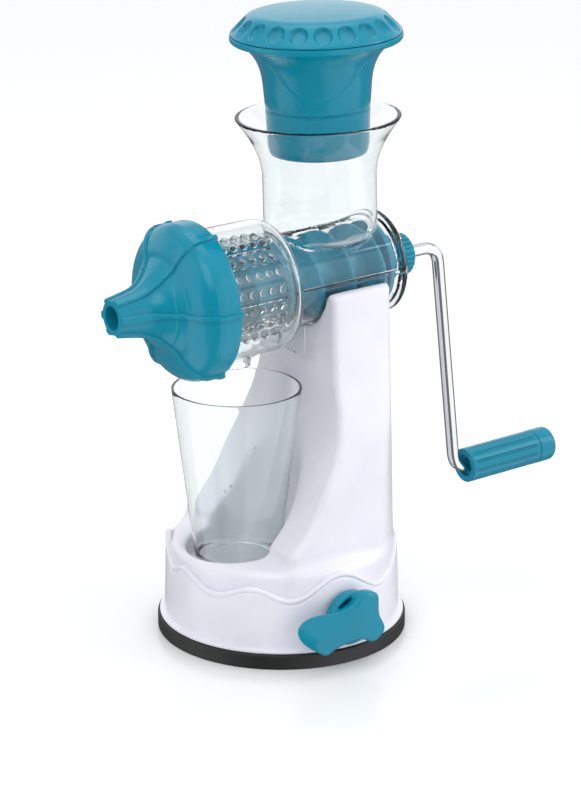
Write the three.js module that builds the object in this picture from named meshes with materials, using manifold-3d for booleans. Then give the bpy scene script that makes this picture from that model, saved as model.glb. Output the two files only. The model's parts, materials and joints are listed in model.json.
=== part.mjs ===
// Hand-cranked juicer on a suction base: an auger presses fruit from the hopper
// through a strainer, juice leaves by the spout and pulp by the nozzle.
// Millimetres, +Z up, +X along the barrel towards the crank, nozzle towards -X.
// The origin is the centre of the flat underside of the suction pad.
import * as THREE from "three";
import { mergeVertices } from "three/addons/utils/BufferGeometryUtils.js";
import Module from "manifold-3d";

const wasm = await Module();
wasm.setup();

// ---- driving dimensions -------------------------------------------------
const GAP = 0.3; // clearance between pieces that touch
const BASE_RADIUS = 80; // outside of the rubber pad
const AXIS_HEIGHT = 228.85; // barrel axis above the table, over the origin
const HEAD_TILT = THREE.MathUtils.degToRad(1.8); // the crank end stands higher
const WALL = 3; // moulded wall of the stand
const CLEAR_WALL = 2.3; // moulded wall of the clear body

const PAD_HEIGHT = 9.6;
const PAD_RIM = 5.5; // thickness of the pad's upright rim
const PAD_FLOOR = 3.2;
const FLANGE_HEIGHT = 2.1; // foot flange of the stand
const FLANGE_INSET = 1.4;
const SKIRT_INSET = 4.5; // skirt radius inside the pad radius
const SKIRT_DRAFT = 1.3;
const SKIRT_PROUD = 2.6; // skirt stands out from the column body
const BODY_TOP = 60; // height where the body leaves the skirt
const COLUMN_TAPER = 4; // body radius lost between skirt and top

const GLASS_RIM_RADIUS = 40.9;
const GLASS_FOOT_RADIUS = 27;
const GLASS_WALL = 1.6;
const GLASS_FLOOR = 5;
const GLASS_HEADROOM = 15.5; // between the glass rim and the spout
const POCKET_LIP = 2; // pocket wall inside the drum's round edge
const POCKET_FLOOR = 49.5; // height the glass stands at
const POCKET_CLEARANCE = 4.5; // pocket wall to glass

const COLUMN_DROP = 4.9; // column top below the barrel axis
const COLUMN_SETBACK = 47; // column front behind the glass axis
const BARREL_RADIUS = 30;
const BARREL_WALL = 2.4;
const BARREL_OVERHANG = 7; // barrel's rear end behind the column
const HOUSING_STEP = 11.5; // housing radius outside the barrel radius
const HOUSING_LENGTH = 58.2;
const HOUSING_LEAD = 21.7; // housing's rear ahead of the column
const HOUSING_CORNER = 7; // rounded rear edge of the housing
const REAR_FLANGE_REACH = 3; // rear flange outside the barrel
const REAR_WALL = 4;
const LEDGE_REACH = 3.6; // parting ledge outside the barrel
const LEDGE_THICKNESS = 2;
const FOOT_HALF_WIDTH = 12.5;
const FIN_OFFSET = 9.8; // gusset fins in front of the column, from the middle plane
const FIN_THICKNESS = 2.4;
const FIN_DROP = 5; // fin tips below the foot's underside
const FIN_CLEARANCE = 3.3; // fins ahead of the column, which leans forward below them
const FOOT_REACH = 16; // foot underside below the barrel
const FOOT_INSET = 8.5; // foot's rear face inside the column
const SPOUT_RADIUS = 10.7;
const SPOUT_REACH = 6.2; // spout mouth below the housing
const SPOUT_LEAD = 3.7; // spout ahead of the glass axis
const TROUGH_RADIUS = 9;
const TROUGH_RISE = 5; // trough axis above the housing's lowest line

const HOPPER_RADIUS = 35.6;
const HOPPER_LEAD = 4; // hopper's front behind the housing
const HOPPER_SINK = 8; // hopper underside below the barrel's top
const HOPPER_CORNER = 8;
const HOPPER_NECK = 65; // where the tube begins to flare
const HOPPER_RIM = 100.7;
const HOPPER_FLARE = 16.7; // rim radius outside the tube's
const THROAT_RADIUS = 20;

const STRAINER_STEP = 4.2; // strainer radius outside the barrel bore
const STRAINER_WALL = 2.2;
const STRAINER_ROWS = 18;
const STRAINER_SLOT = 2.2;
const AUGER_CLEARANCE = 1; // flight to bore
const AUGER_PITCH = 24;
const AUGER_CORE = 15;
const NECK_RADIUS = 8.2; // auger neck through the rear wall

const CAP_STEP = 7.7; // cap radius outside the housing
const CAP_OVERLAP = 4.7; // cap's rear edge behind the housing's front
const CAP_REACH = 56.8; // nozzle's end ahead of the housing
const CAP_RIM_DEPTH = 12; // cylindrical rim of the front cap
const CAP_WALL = 2.6;
const CAP_RIBS = 6;
const RIB_START = THREE.MathUtils.degToRad(-2); // first rib from +Y towards +Z
const CAP_LUGS = 3;
const BEAD_REACH = 4; // stop bead outside the housing
const BEAD_THICKNESS = 1.7;
const CAP_OPENING_TURN = 30; // degrees from locked to released
const CAP_FLANGE_STEP = 5.7; // bayonet flange radius outside the housing
const CAP_FLANGE_THICKNESS = 2.2;
const SEAL_WIDTH = 2.8;
const NOZZLE_LENGTH = 19;
const NOZZLE_RADIUS = 12;
const NOZZLE_BORE = 7.5;

const STEM_SLACK = 0.7; // stem to hopper wall
const STEM_WALL = 2.5;
const STEM_DIP = 22.7; // stem underside below the hopper's rim
const PUSHER_RISE = 51.1; // top of the lip above the hopper's rim
const PUSHER_LIP_STEP = 1.1; // lip radius outside the hopper's rim
const LID_HEIGHT = 15;
const LID_BAND = 12.4; // width of the sloped band round the lid

const ROD_RADIUS = 4;
const ARM_OFFSET = 48; // arm behind the barrel's end
const CRANK_ARM = 150;
const CRANK_TURN = THREE.MathUtils.degToRad(6.4); // arm turned towards -Y at rest
const ROD_BEND = 9;
const KNOB_RADIUS = 13.9;
const KNOB_LENGTH = 21;
const KNOB_TEETH = 14;
const GRIP_RADIUS = 11.4;
const GRIP_LENGTH = 57.5;
const GRIP_CAP_LENGTH = 13.5;
const GRIP_FLUTES = 12;

const SHAFT_HEIGHT = 30.2;
const SHAFT_X = -3;
const SHAFT_RADIUS = 4;
const ECCENTRIC_RADIUS = 8;
const ECCENTRIC_THROW = 2.1;
const LIFT = 3; // stud travel between released and locked
const BOSS_RADIUS = 17.5;
const BOSS_DEPTH = 6;
const LEVER_DEPTH = 9;
const LEVER_BEVEL = 1.5;
const PLATE_THICKNESS = 4;
const PLATE_LEVEL = 4.2;
const SCREW_COUNT = 4;
const SCREW_CIRCLE_INSET = 5.4; // screw axis inside the column body radius
const SCREW_SHANK = 1.7;
const SCREW_HEAD = 3.6;

// ---- worked-out sizes ----------------------------------------------------
const SKIRT_RADIUS = BASE_RADIUS - SKIRT_INSET;
const BODY_RADIUS = SKIRT_RADIUS - SKIRT_DRAFT - SKIRT_PROUD;
const TOP_RADIUS = BODY_RADIUS - COLUMN_TAPER;
const COLUMN_TOP = AXIS_HEIGHT - COLUMN_DROP;
const SADDLE_RADIUS = BARREL_RADIUS + 0.5;
const FLANGE_LEVEL = PAD_HEIGHT + GAP;
const BARREL_BORE = BARREL_RADIUS - BARREL_WALL;
const HOUSING_RADIUS = BARREL_RADIUS + HOUSING_STEP;
const REAR_FLANGE_RADIUS = BARREL_RADIUS + REAR_FLANGE_REACH;
const FOOT_DEPTH = BARREL_RADIUS + FOOT_REACH;
const SPOUT_DROP = HOUSING_RADIUS + SPOUT_REACH;
const TROUGH_DROP = HOUSING_RADIUS - TROUGH_RISE;
const STRAINER_RADIUS = BARREL_BORE + STRAINER_STEP;
const STRAINER_BORE = STRAINER_RADIUS - STRAINER_WALL;
const CAP_RADIUS = HOUSING_RADIUS + CAP_STEP;
const CAP_FLANGE_RADIUS = HOUSING_RADIUS + CAP_FLANGE_STEP;
const HOPPER_FLOOR = BARREL_RADIUS - HOPPER_SINK;
const HOPPER_RIM_RADIUS = HOPPER_RADIUS + HOPPER_FLARE;
const STEM_RADIUS = HOPPER_RADIUS - CLEAR_WALL - STEM_SLACK;
const STEM_BOTTOM = HOPPER_RIM - STEM_DIP;
const PUSHER_LIP = HOPPER_RIM + PUSHER_RISE;
const PUSHER_LIP_RADIUS = HOPPER_RIM_RADIUS + PUSHER_LIP_STEP;
const LID_PLATEAU = PUSHER_LIP_RADIUS - LID_BAND;
const GLASS_TOP = AXIS_HEIGHT - SPOUT_DROP - GLASS_HEADROOM;
const GLASS_FOOT = POCKET_FLOOR + GAP;
const POCKET_MOUTH = pocketRadius(BODY_TOP);
const GLASS_X = POCKET_MOUTH + WALL + POCKET_LIP - BODY_RADIUS;
const COLUMN_FRONT = GLASS_X + COLUMN_SETBACK;
const HOUSING_REAR = COLUMN_FRONT - HOUSING_LEAD;
const HOUSING_FRONT = HOUSING_REAR - HOUSING_LENGTH;
const BARREL_END = TOP_RADIUS + BARREL_OVERHANG;
const FOOT_FRONT = COLUMN_FRONT + WALL + 1;
const FOOT_REAR = TOP_RADIUS - FOOT_INSET;
const HOPPER_CENTRE = HOUSING_REAR + HOPPER_RADIUS + HOPPER_LEAD;
const SPOUT_X = GLASS_X - SPOUT_LEAD;
const CAP_REAR = HOUSING_FRONT + CAP_OVERLAP;
const CAP_NOSE = HOUSING_FRONT - CAP_REACH;
const CRANK_X = BARREL_END + ARM_OFFSET;
const WASHER_THICKNESS = 1.6;
const WASHER_WIDTH = 5.8;
const DISC_REAR = BARREL_END - REAR_WALL - WASHER_THICKNESS - 2 * GAP;
const DISC_THICKNESS = 3.2;
const NECK_END = BARREL_END + 2.6;

const HEAD = new THREE.Matrix4().makeRotationY(-HEAD_TILT).setPosition(0, 0, AXIS_HEIGHT);

const COLOURS = {
  teal: { color: 0x0a8499, roughness: 0.35, metalness: 0 },
  white: { color: 0xf1f0f8, roughness: 0.3, metalness: 0 },
  clear: { color: 0xe6edf0, roughness: 0.08, metalness: 0, transparent: true, opacity: 0.35 },
  black: { color: 0x2b2b2d, roughness: 0.7, metalness: 0 },
  steel: { color: 0xcfd0d2, roughness: 0.18, metalness: 1 },
  grey: { color: 0xb9bcc2, roughness: 0.5, metalness: 0 },
};

// ---- solids --------------------------------------------------------------

// Radius of the glass outside at a height, and of the pocket around it.
function glassRadius(z) {
  const share = (z - GLASS_FOOT) / (GLASS_TOP - GLASS_FOOT);
  return THREE.MathUtils.lerp(GLASS_FOOT_RADIUS, GLASS_RIM_RADIUS, share);
}

function pocketRadius(z) {
  return glassRadius(z) + POCKET_CLEARANCE;
}

function signedVolume(positions, triangles) {
  const a = new THREE.Vector3();
  const b = new THREE.Vector3();
  const c = new THREE.Vector3();
  let volume = 0;
  for (let i = 0; i < triangles.length; i += 3) {
    a.fromArray(positions, 3 * triangles[i]);
    b.fromArray(positions, 3 * triangles[i + 1]);
    c.fromArray(positions, 3 * triangles[i + 2]);
    volume += a.dot(b.cross(c)) / 6;
  }
  return volume;
}

// A closed three.js geometry as a solid that can be cut and joined.
function solid(geometry) {
  const bare = geometry.clone();
  bare.deleteAttribute("normal");
  bare.deleteAttribute("uv");
  const merged = mergeVertices(bare, 1e-3);
  const positions = new Float32Array(merged.attributes.position.array);
  const corners = [];
  const index = merged.index.array;
  for (let i = 0; i < index.length; i += 3) {
    const [a, b, c] = [index[i], index[i + 1], index[i + 2]];
    if (a !== b && b !== c && c !== a) corners.push(a, b, c);
  }
  if (signedVolume(positions, corners) < 0) corners.reverse();
  return new wasm.Manifold(
    new wasm.Mesh({
      numProp: 3,
      vertProperties: positions,
      triVerts: new Uint32Array(corners),
    }),
  );
}

function join(...solids) {
  return solids.reduce((whole, piece) => whole.add(piece));
}

// A profile of [radius, height] points turned about the Z axis.
function turned(profile, segments = 32) {
  const points = profile.map(([radius, height]) => new THREE.Vector2(radius, height));
  return new THREE.LatheGeometry(points, segments).rotateX(Math.PI / 2);
}

// A profile of [x, radius] points turned about the X axis.
function turnedAlong(profile, segments = 32) {
  const points = profile.map(([x, radius]) => new THREE.Vector2(radius, x));
  return new THREE.LatheGeometry(points, segments).rotateZ(-Math.PI / 2);
}

// A straight round bar along X, Y or Z.
function bar(radius, from, to, axis = "z", segments = 16) {
  const profile = [[0, from], [radius, from], [radius, to], [0, to]];
  const upright = turned(profile, segments);
  if (axis === "x") return upright.rotateY(Math.PI / 2);
  if (axis === "y") return upright.rotateX(-Math.PI / 2);
  return upright;
}

function block([x0, x1], [y0, y1], [z0, z1]) {
  const box = new THREE.BoxGeometry(x1 - x0, y1 - y0, z1 - z0);
  return box.translate((x0 + x1) / 2, (y0 + y1) / 2, (z0 + z1) / 2);
}

// A closed skin through rings of points that match one to one.
function loft(rings) {
  const count = rings[0].length;
  const positions = rings.flat(2);
  const triangles = [];
  for (let r = 0; r < rings.length - 1; r += 1) {
    for (let i = 0; i < count; i += 1) {
      const a = r * count + i;
      const b = r * count + ((i + 1) % count);
      triangles.push(a, b, b + count, a, b + count, a + count);
    }
  }
  for (let i = 1; i < count - 1; i += 1) {
    const last = (rings.length - 1) * count;
    triangles.push(0, i + 1, i, last, last + i, last + i + 1);
  }
  const geometry = new THREE.BufferGeometry();
  geometry.setAttribute("position", new THREE.Float32BufferAttribute(positions, 3));
  geometry.setIndex(triangles);
  return geometry;
}

// Points of a round corner, angles in degrees.
function arc(x, y, radius, from, to, steps = 4) {
  return Array.from({ length: steps + 1 }, (_, i) => {
    const angle = THREE.MathUtils.degToRad(from + ((to - from) * i) / steps);
    return [x + radius * Math.cos(angle), y + radius * Math.sin(angle)];
  });
}

// A round bar swept along a curve.
function swept(curve, radius, steps, sides) {
  const section = new THREE.Shape(
    arc(0, 0, radius, 0, 360 - 360 / sides, sides - 1).map(([x, y]) => new THREE.Vector2(x, y)),
  );
  return new THREE.ExtrudeGeometry(section, { steps, extrudePath: curve, bevelEnabled: false });
}

// A gear-like bar along X: teeth stand out from the root radius.
function fluted(teeth, root, tip, from, to) {
  const outline = [];
  for (let i = 0; i < teeth; i += 1) {
    const middle = (360 * i) / teeth;
    const half = 360 / teeth / 2;
    outline.push(...arc(0, 0, root, middle - half, middle - half * 0.7, 1));
    outline.push(...arc(0, 0, tip, middle - half * 0.4, middle + half * 0.4, 1));
    outline.push(arc(0, 0, root, middle + half * 0.7, middle + half, 1)[0]);
  }
  const shape = new THREE.Shape(outline.map(([x, y]) => new THREE.Vector2(x, y)));
  const prism = new THREE.ExtrudeGeometry(shape, { depth: to - from, bevelEnabled: false });
  return prism.rotateY(Math.PI / 2).translate(from, 0, 0);
}

// ---- stand ---------------------------------------------------------------

// Outline of the column: share of its height, front edge from the glass axis,
// half width as a share of the body radius.
const COLUMN_OUTLINE = [
  [1, 47.3, 0.567],
  [0.67, 45.8, 0.63],
  [0.53, 43.9, 0.725],
  [0.41, 37.8, 0.805],
  [0.3, 28.3, 0.84],
  [0.17, 16.3, 0.85],
  [0.06, 0, 0.87],
];

function bodyRadius(z) {
  const share = THREE.MathUtils.clamp((z - BODY_TOP) / (COLUMN_TOP - BODY_TOP), 0, 1);
  return THREE.MathUtils.lerp(BODY_RADIUS, TOP_RADIUS, share);
}

// One level of the column, drawn in from the outside by inset.
function columnRing(z, front, halfWidth, inset) {
  const radius = bodyRadius(z) - inset;
  const half = halfWidth - inset;
  const nose = front + inset;
  const corner = Math.max(7 - inset, 2);
  const swing = THREE.MathUtils.radToDeg(Math.asin(half / radius));
  const outline = [
    ...arc(nose + corner, corner - half, corner, 180, 270, 2),
    ...arc(0, 0, radius, -swing, swing, 8),
    ...arc(nose + corner, half - corner, corner, 90, 180, 2),
  ];
  return outline.map(([x, y]) => [x, y, z]);
}

function column(inset) {
  const span = COLUMN_TOP + SADDLE_RADIUS - BODY_TOP;
  const rings = COLUMN_OUTLINE.map(([share, front, width]) => {
    const z = BODY_TOP + share * (COLUMN_TOP - BODY_TOP);
    return columnRing(z, GLASS_X + front, width * bodyRadius(z), inset);
  });
  const [, topFront, topWidth] = COLUMN_OUTLINE[0];
  const above = columnRing(BODY_TOP + span, GLASS_X + topFront, topWidth * TOP_RADIUS, inset);
  const [, lowFront, lowWidth] = COLUMN_OUTLINE[COLUMN_OUTLINE.length - 1];
  const below = columnRing(FLANGE_LEVEL, GLASS_X + lowFront, lowWidth * BODY_RADIUS, inset);
  return solid(loft([above, ...rings, below]));
}

// The low front of the body, a drum whose top slopes up to the column.
function drum(inset) {
  const radius = BODY_RADIUS - inset;
  const top = BODY_TOP - inset;
  const rise = 6;
  const corner = 3;
  const profile = [
    [0, FLANGE_LEVEL],
    [radius, FLANGE_LEVEL],
    [radius, top - corner],
    [radius - corner, top],
    [radius - 20, top + rise * 0.5],
    [radius - 38, top + rise],
    [0, top + rise],
  ];
  return solid(turned(profile, 40));
}

// Top edge of the skirt: angle about the base axis, height.
const SKIRT_WAVE = [
  [-215, 62], [-194, 48.6], [-182, 53.5], [-160, 44.5], [-139, 51.5], [-120, 44.2],
  [-95, 58.8], [-67, 43.7], [-35, 60], [-8, 45], [20, 57], [50, 44.5], [80, 56], [112, 45],
];

// Smooth periodic curve through the wave's crests and troughs.
function skirtHeight(angle) {
  const first = SKIRT_WAVE[0][0];
  const turn = first + (((angle - first) % 360) + 360) % 360;
  const next = SKIRT_WAVE.findIndex(([a]) => a > turn);
  const upper = next < 0 ? [first + 360, SKIRT_WAVE[0][1]] : SKIRT_WAVE[next];
  const lower = next < 0 ? SKIRT_WAVE[SKIRT_WAVE.length - 1] : SKIRT_WAVE[next - 1];
  const share = (turn - lower[0]) / (upper[0] - lower[0]);
  return THREE.MathUtils.lerp(lower[1], upper[1], (1 - Math.cos(Math.PI * share)) / 2);
}

function skirt() {
  const count = 48;
  const inner = BODY_RADIUS - WALL / 2;
  const levels = [
    [() => FLANGE_LEVEL + 0.5, inner],
    [() => FLANGE_LEVEL + 0.5, SKIRT_RADIUS],
    [(angle) => skirtHeight(angle) - 1.5, SKIRT_RADIUS - SKIRT_DRAFT],
    [(angle) => skirtHeight(angle), SKIRT_RADIUS - SKIRT_DRAFT - 1.2],
    [(angle) => skirtHeight(angle), inner],
  ];
  const positions = [];
  const triangles = [];
  const size = levels.length;
  for (let i = 0; i < count; i += 1) {
    const angle = (360 * i) / count;
    const turn = THREE.MathUtils.degToRad(angle);
    for (const [height, radius] of levels) {
      positions.push(radius * Math.cos(turn), radius * Math.sin(turn), height(angle));
    }
    for (let k = 0; k < size; k += 1) {
      const a = i * size + k;
      const b = i * size + ((k + 1) % size);
      const c = ((i + 1) % count) * size + ((k + 1) % size);
      const d = ((i + 1) % count) * size + k;
      triangles.push(a, b, c, a, c, d);
    }
  }
  const geometry = new THREE.BufferGeometry();
  geometry.setAttribute("position", new THREE.Float32BufferAttribute(positions, 3));
  geometry.setIndex(triangles);
  return solid(geometry);
}

function flange() {
  const outside = BASE_RADIUS - FLANGE_INSET;
  const top = FLANGE_LEVEL + FLANGE_HEIGHT;
  const inside = SKIRT_RADIUS - WALL;
  const profile = [[inside, FLANGE_LEVEL], [outside, FLANGE_LEVEL], [outside, top], [inside, top]];
  return solid(turned([...profile, profile[0]], 40));
}

// The conical seat of the glass, or the moulding around it when grown.
function pocket(grow) {
  const top = AXIS_HEIGHT;
  const floor = POCKET_FLOOR - grow;
  const profile = [[0, floor], [pocketRadius(floor) + grow, floor], [pocketRadius(top) + grow, top], [0, top]];
  return solid(turned(profile, 32).translate(GLASS_X, 0, 0));
}

// The barrel's cradle and the slot of its foot, or the moulding around them.
function cradle(grow) {
  const trough = bar(SADDLE_RADIUS + grow, HOUSING_FRONT, BARREL_END, "x", 32);
  const foot = block(
    [FOOT_FRONT - 0.4 - grow, FOOT_REAR + 0.5 + grow],
    [-FOOT_HALF_WIDTH - 0.4 - grow, FOOT_HALF_WIDTH + 0.4 + grow],
    [-FOOT_DEPTH - 0.4 - grow, 0],
  );
  return join(solid(trough.applyMatrix4(HEAD)), solid(foot.applyMatrix4(HEAD)));
}

function aboveColumn(drop) {
  const reach = 2 * BASE_RADIUS;
  const lid = block([-reach, reach], [-reach, reach], [COLUMN_TOP - AXIS_HEIGHT - drop, AXIS_HEIGHT]);
  return solid(lid.applyMatrix4(HEAD));
}

function screwPlaces() {
  const circle = BODY_RADIUS - SCREW_CIRCLE_INSET;
  return Array.from({ length: SCREW_COUNT }, (_, i) => {
    const angle = (2 * Math.PI * (i + 0.5)) / SCREW_COUNT;
    return [circle * Math.cos(angle), circle * Math.sin(angle)];
  });
}

function standBosses() {
  const floor = PLATE_LEVEL + PLATE_THICKNESS + GAP;
  const ceiling = BODY_TOP - 8;
  const posts = screwPlaces().map(([x, y]) => solid(bar(5, floor, ceiling, "z", 12).translate(x, y, 0)));
  const holes = screwPlaces().map(([x, y]) =>
    solid(bar(SCREW_SHANK + GAP, floor - 1, floor + 14, "z", 10).translate(x, y, 0)),
  );
  return join(...posts).subtract(join(...holes));
}

function makeStand() {
  const outside = join(column(0), drum(0), skirt(), flange());
  const cellar = solid(bar(BODY_RADIUS - 0.5, FLANGE_LEVEL - 1, 40, "z", 40));
  const hollow = join(column(WALL), drum(WALL), cellar)
    .subtract(pocket(WALL))
    .subtract(cradle(WALL))
    .subtract(aboveColumn(WALL));
  const shaftHole = bar(BOSS_RADIUS - 6.5, -BASE_RADIUS, -BODY_RADIUS / 2, "y", 20);
  return outside
    .subtract(hollow)
    .subtract(pocket(0))
    .subtract(cradle(0))
    .subtract(aboveColumn(0))
    .add(standBosses())
    .subtract(solid(shaftHole.translate(SHAFT_X, 0, SHAFT_HEIGHT)));
}

// ---- suction base --------------------------------------------------------

const STUD_FOOT_RADIUS = 8;
const HUB_RADIUS = 11.5;
const HUB_TOP = 10.5;
const STUD_FOOT = 2.3;
const STUD_FOOT_THICKNESS = 2.3;
const STEM = 3.5; // radius of the stud's stem
const YOKE_WALL = 2.2;

function makeSuctionPad() {
  const inside = BASE_RADIUS - PAD_RIM;
  const profile = [
    [0, 0],
    [BASE_RADIUS, 0],
    [BASE_RADIUS, PAD_HEIGHT],
    [inside, PAD_HEIGHT],
    [inside, PAD_FLOOR],
    [HUB_RADIUS, PAD_FLOOR],
    [HUB_RADIUS, HUB_TOP],
    [STEM + 0.6, HUB_TOP],
    [STEM + 0.6, HUB_TOP - 2.2],
    [STUD_FOOT_RADIUS + 0.6, HUB_TOP - 2.2],
    [STUD_FOOT_RADIUS + 0.6, STUD_FOOT - GAP],
    [0, STUD_FOOT - GAP],
  ];
  return solid(turned(profile, 40));
}

function makePressurePlate() {
  const top = PLATE_LEVEL + PLATE_THICKNESS;
  const plate = solid(bar(BODY_RADIUS - 1, PLATE_LEVEL, top, "z", 32));
  const uprightTop = SHAFT_HEIGHT + SHAFT_RADIUS + 4;
  const uprights = [-1, 1].map((side) => {
    const middle = side * (ECCENTRIC_RADIUS + 5);
    return solid(block([SHAFT_X - 8, SHAFT_X + 8], [middle - 2, middle + 2], [top - 1, uprightTop]));
  });
  const bearing = bar(SHAFT_RADIUS + GAP, -30, 30, "y", 16).translate(SHAFT_X, 0, SHAFT_HEIGHT);
  const hub = bar(HUB_RADIUS + 0.5, 0, HUB_TOP + GAP, "z", 24);
  const holes = screwPlaces().map(([x, y]) => {
    const shank = solid(bar(SCREW_SHANK + GAP, 0, top + 1, "z", 10).translate(x, y, 0));
    const head = solid(bar(SCREW_HEAD + GAP, 0, PLATE_LEVEL + 2, "z", 12).translate(x, y, 0));
    return shank.add(head);
  });
  return join(plate, ...uprights).subtract(join(solid(bearing), solid(hub), ...holes));
}

function makeScrew([x, y]) {
  const head = PLATE_LEVEL - 0.5;
  const seat = PLATE_LEVEL + 2 - GAP;
  const profile = [
    [0, head],
    [SCREW_HEAD, head],
    [SCREW_HEAD, seat],
    [SCREW_SHANK, seat],
    [SCREW_SHANK, seat + 14],
    [0, seat + 15],
  ];
  return solid(turned(profile, 10).translate(x, y, 0));
}

// The stud stands in the pad's hub; its yoke is lifted by the eccentric.
function makeStud() {
  const yokeMiddle = SHAFT_HEIGHT - LIFT / 2;
  const halfHeight = ECCENTRIC_RADIUS + 0.4 + YOKE_WALL;
  const halfWidth = ECCENTRIC_RADIUS + ECCENTRIC_THROW + Math.abs(SHAFT_X) + 0.5 + YOKE_WALL;
  const yoke = solid(block([-halfWidth, halfWidth], [-3, 3], [yokeMiddle - halfHeight, yokeMiddle + halfHeight]));
  const window = solid(
    block(
      [YOKE_WALL - halfWidth, halfWidth - YOKE_WALL],
      [-4, 4],
      [yokeMiddle - halfHeight + YOKE_WALL, yokeMiddle + halfHeight - YOKE_WALL],
    ),
  );
  const stem = solid(bar(STEM, STUD_FOOT + 1, yokeMiddle - halfHeight + 1, "z", 16));
  const foot = solid(bar(STUD_FOOT_RADIUS, STUD_FOOT, STUD_FOOT + STUD_FOOT_THICKNESS, "z", 20));
  return join(yoke.subtract(window), stem, foot);
}

// Lever shaft along Y with its eccentric, which starts 45 degrees below level.
function makeCamShaft() {
  const throwSide = ECCENTRIC_THROW * Math.SQRT1_2;
  const shaft = bar(SHAFT_RADIUS, -BASE_RADIUS - 6, ECCENTRIC_RADIUS + 12, "y", 16);
  const eccentric = bar(ECCENTRIC_RADIUS, -2.6, 2.6, "y", 24).translate(-throwSide, 0, -throwSide);
  const [inside, outside] = [SHAFT_RADIUS - 1, SHAFT_RADIUS + 1];
  const ring = [[inside, 0], [outside, 0], [outside, 1.6], [inside, 1.6], [inside, 0]];
  const groove = turned(ring, 16);
  groove.rotateX(-Math.PI / 2).translate(0, ECCENTRIC_RADIUS + 7.6, 0);
  return join(solid(shaft), solid(eccentric)).subtract(solid(groove));
}

function makeShaftClip() {
  const inside = SHAFT_RADIUS - 1 + GAP;
  const profile = [[inside, 0], [SHAFT_RADIUS + 3.5, 0], [SHAFT_RADIUS + 3.5, 1], [inside, 1], [inside, 0]];
  const ring = solid(turned(profile, 16).rotateX(-Math.PI / 2));
  const mouth = solid(block([-inside + 0.6, inside - 0.6], [-1, 3], [0, 12]));
  return ring.subtract(mouth);
}

// Lever outline about its shaft, seen from the front.
const LEVER_OUTLINE = [
  [-42.5, 0.5], [-40.5, 6], [-32, 8.5], [-16, 8], [-5, 11], [3, 17.5], [10, 17.5], [15.5, 13.5],
  [15.5, 2], [20.5, -9], [16.5, -15], [10, -16], [2, -12.5], [-11, -13], [-22, -17], [-28, -15.5], [-38.5, -7.5],
];

function makeLockLever() {
  const back = -SKIRT_RADIUS - 0.8;
  const boss = solid(bar(BOSS_RADIUS, back - BOSS_DEPTH, back, "y", 28));
  const shape = new THREE.Shape(LEVER_OUTLINE.map(([x, z]) => new THREE.Vector2(x, z)));
  const lever = new THREE.ExtrudeGeometry(shape, {
    depth: LEVER_DEPTH - 2 * LEVER_BEVEL,
    bevelThickness: LEVER_BEVEL,
    bevelSize: LEVER_BEVEL,
    bevelOffset: -LEVER_BEVEL,
    bevelSegments: 1,
  });
  lever.rotateX(Math.PI / 2).translate(0, back - BOSS_DEPTH + 1 - LEVER_BEVEL, 0);
  const bore = solid(bar(SHAFT_RADIUS + GAP, -BASE_RADIUS - 6 - GAP, back + 1, "y", 16));
  return join(boss, solid(lever)).subtract(bore);
}

// ---- head: clear body ----------------------------------------------------

// Outside, or inside when drawn in, of the housing around the strainer.
function housingShell(inset) {
  const corner = HOUSING_CORNER - inset * 0.5;
  const rear = HOUSING_REAR - inset;
  const radius = HOUSING_RADIUS - inset;
  const front = inset > 0 ? HOUSING_FRONT - 1 : HOUSING_FRONT;
  const profile = [[front, 0], [front, radius], ...arc(rear - corner, radius - corner, corner, 90, 0, 3), [rear, 0]];
  return solid(turnedAlong(profile, 32));
}

function hopperShell(inset) {
  const floor = HOPPER_FLOOR + inset;
  const radius = HOPPER_RADIUS - inset;
  const rim = HOPPER_RIM_RADIUS - inset;
  const corner = HOPPER_CORNER - inset;
  const top = inset > 0 ? HOPPER_RIM + 0.01 : HOPPER_RIM;
  const flare = top - HOPPER_NECK;
  const spread = rim - radius;
  const profile = [
    [0, floor],
    ...arc(radius - corner, floor + corner, corner, -90, 0, 2),
    [radius, HOPPER_NECK],
    [radius + spread * 0.1, HOPPER_NECK + flare * 0.25],
    [radius + spread * 0.4, HOPPER_NECK + flare * 0.6],
    [rim, top],
    [0, top],
  ];
  return solid(turned(profile, 32).translate(HOPPER_CENTRE, 0, 0));
}

function bodyFlange() {
  const rear = HOUSING_FRONT + CAP_FLANGE_THICKNESS;
  const ring = [[HOUSING_FRONT, 0], [HOUSING_FRONT, CAP_FLANGE_RADIUS], [rear, CAP_FLANGE_RADIUS], [rear, 0]];
  const notches = Array.from({ length: CAP_LUGS }, (_, i) => {
    const notch = block([HOUSING_FRONT - 1, rear + 1], [-6.5, 6.5], [HOUSING_RADIUS + 1.5, CAP_FLANGE_RADIUS + 1]);
    const turn = (2 * Math.PI * i) / CAP_LUGS + THREE.MathUtils.degToRad(CAP_OPENING_TURN);
    return solid(notch.rotateX(turn));
  });
  return solid(turnedAlong(ring, 32)).subtract(join(...notches));
}

function stopBead() {
  const front = CAP_REAR + GAP;
  const rear = front + BEAD_THICKNESS;
  const [inner, outer] = [HOUSING_RADIUS - 1, HOUSING_RADIUS + BEAD_REACH];
  const bead = [[front, inner], [front, outer], [rear, outer], [rear, inner]];
  return solid(turnedAlong([...bead, bead[0]], 32));
}

function spoutSolids(inset) {
  const radius = SPOUT_RADIUS - inset;
  const drop = -SPOUT_DROP - (inset > 0 ? 1 : 0);
  const spout = bar(radius, drop, -HOUSING_RADIUS / 2, "z", 16).translate(SPOUT_X, 0, 0);
  const rear = HOUSING_REAR - 6 - inset;
  const endX = rear - TROUGH_RADIUS * 0.4;
  const trough = bar(TROUGH_RADIUS - inset, SPOUT_X, endX, "x", 16);
  const end = new THREE.SphereGeometry(TROUGH_RADIUS - inset, 10, 6);
  trough.translate(0, 0, -TROUGH_DROP);
  end.translate(endX, 0, -TROUGH_DROP);
  return join(solid(spout), solid(trough), solid(end));
}

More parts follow.
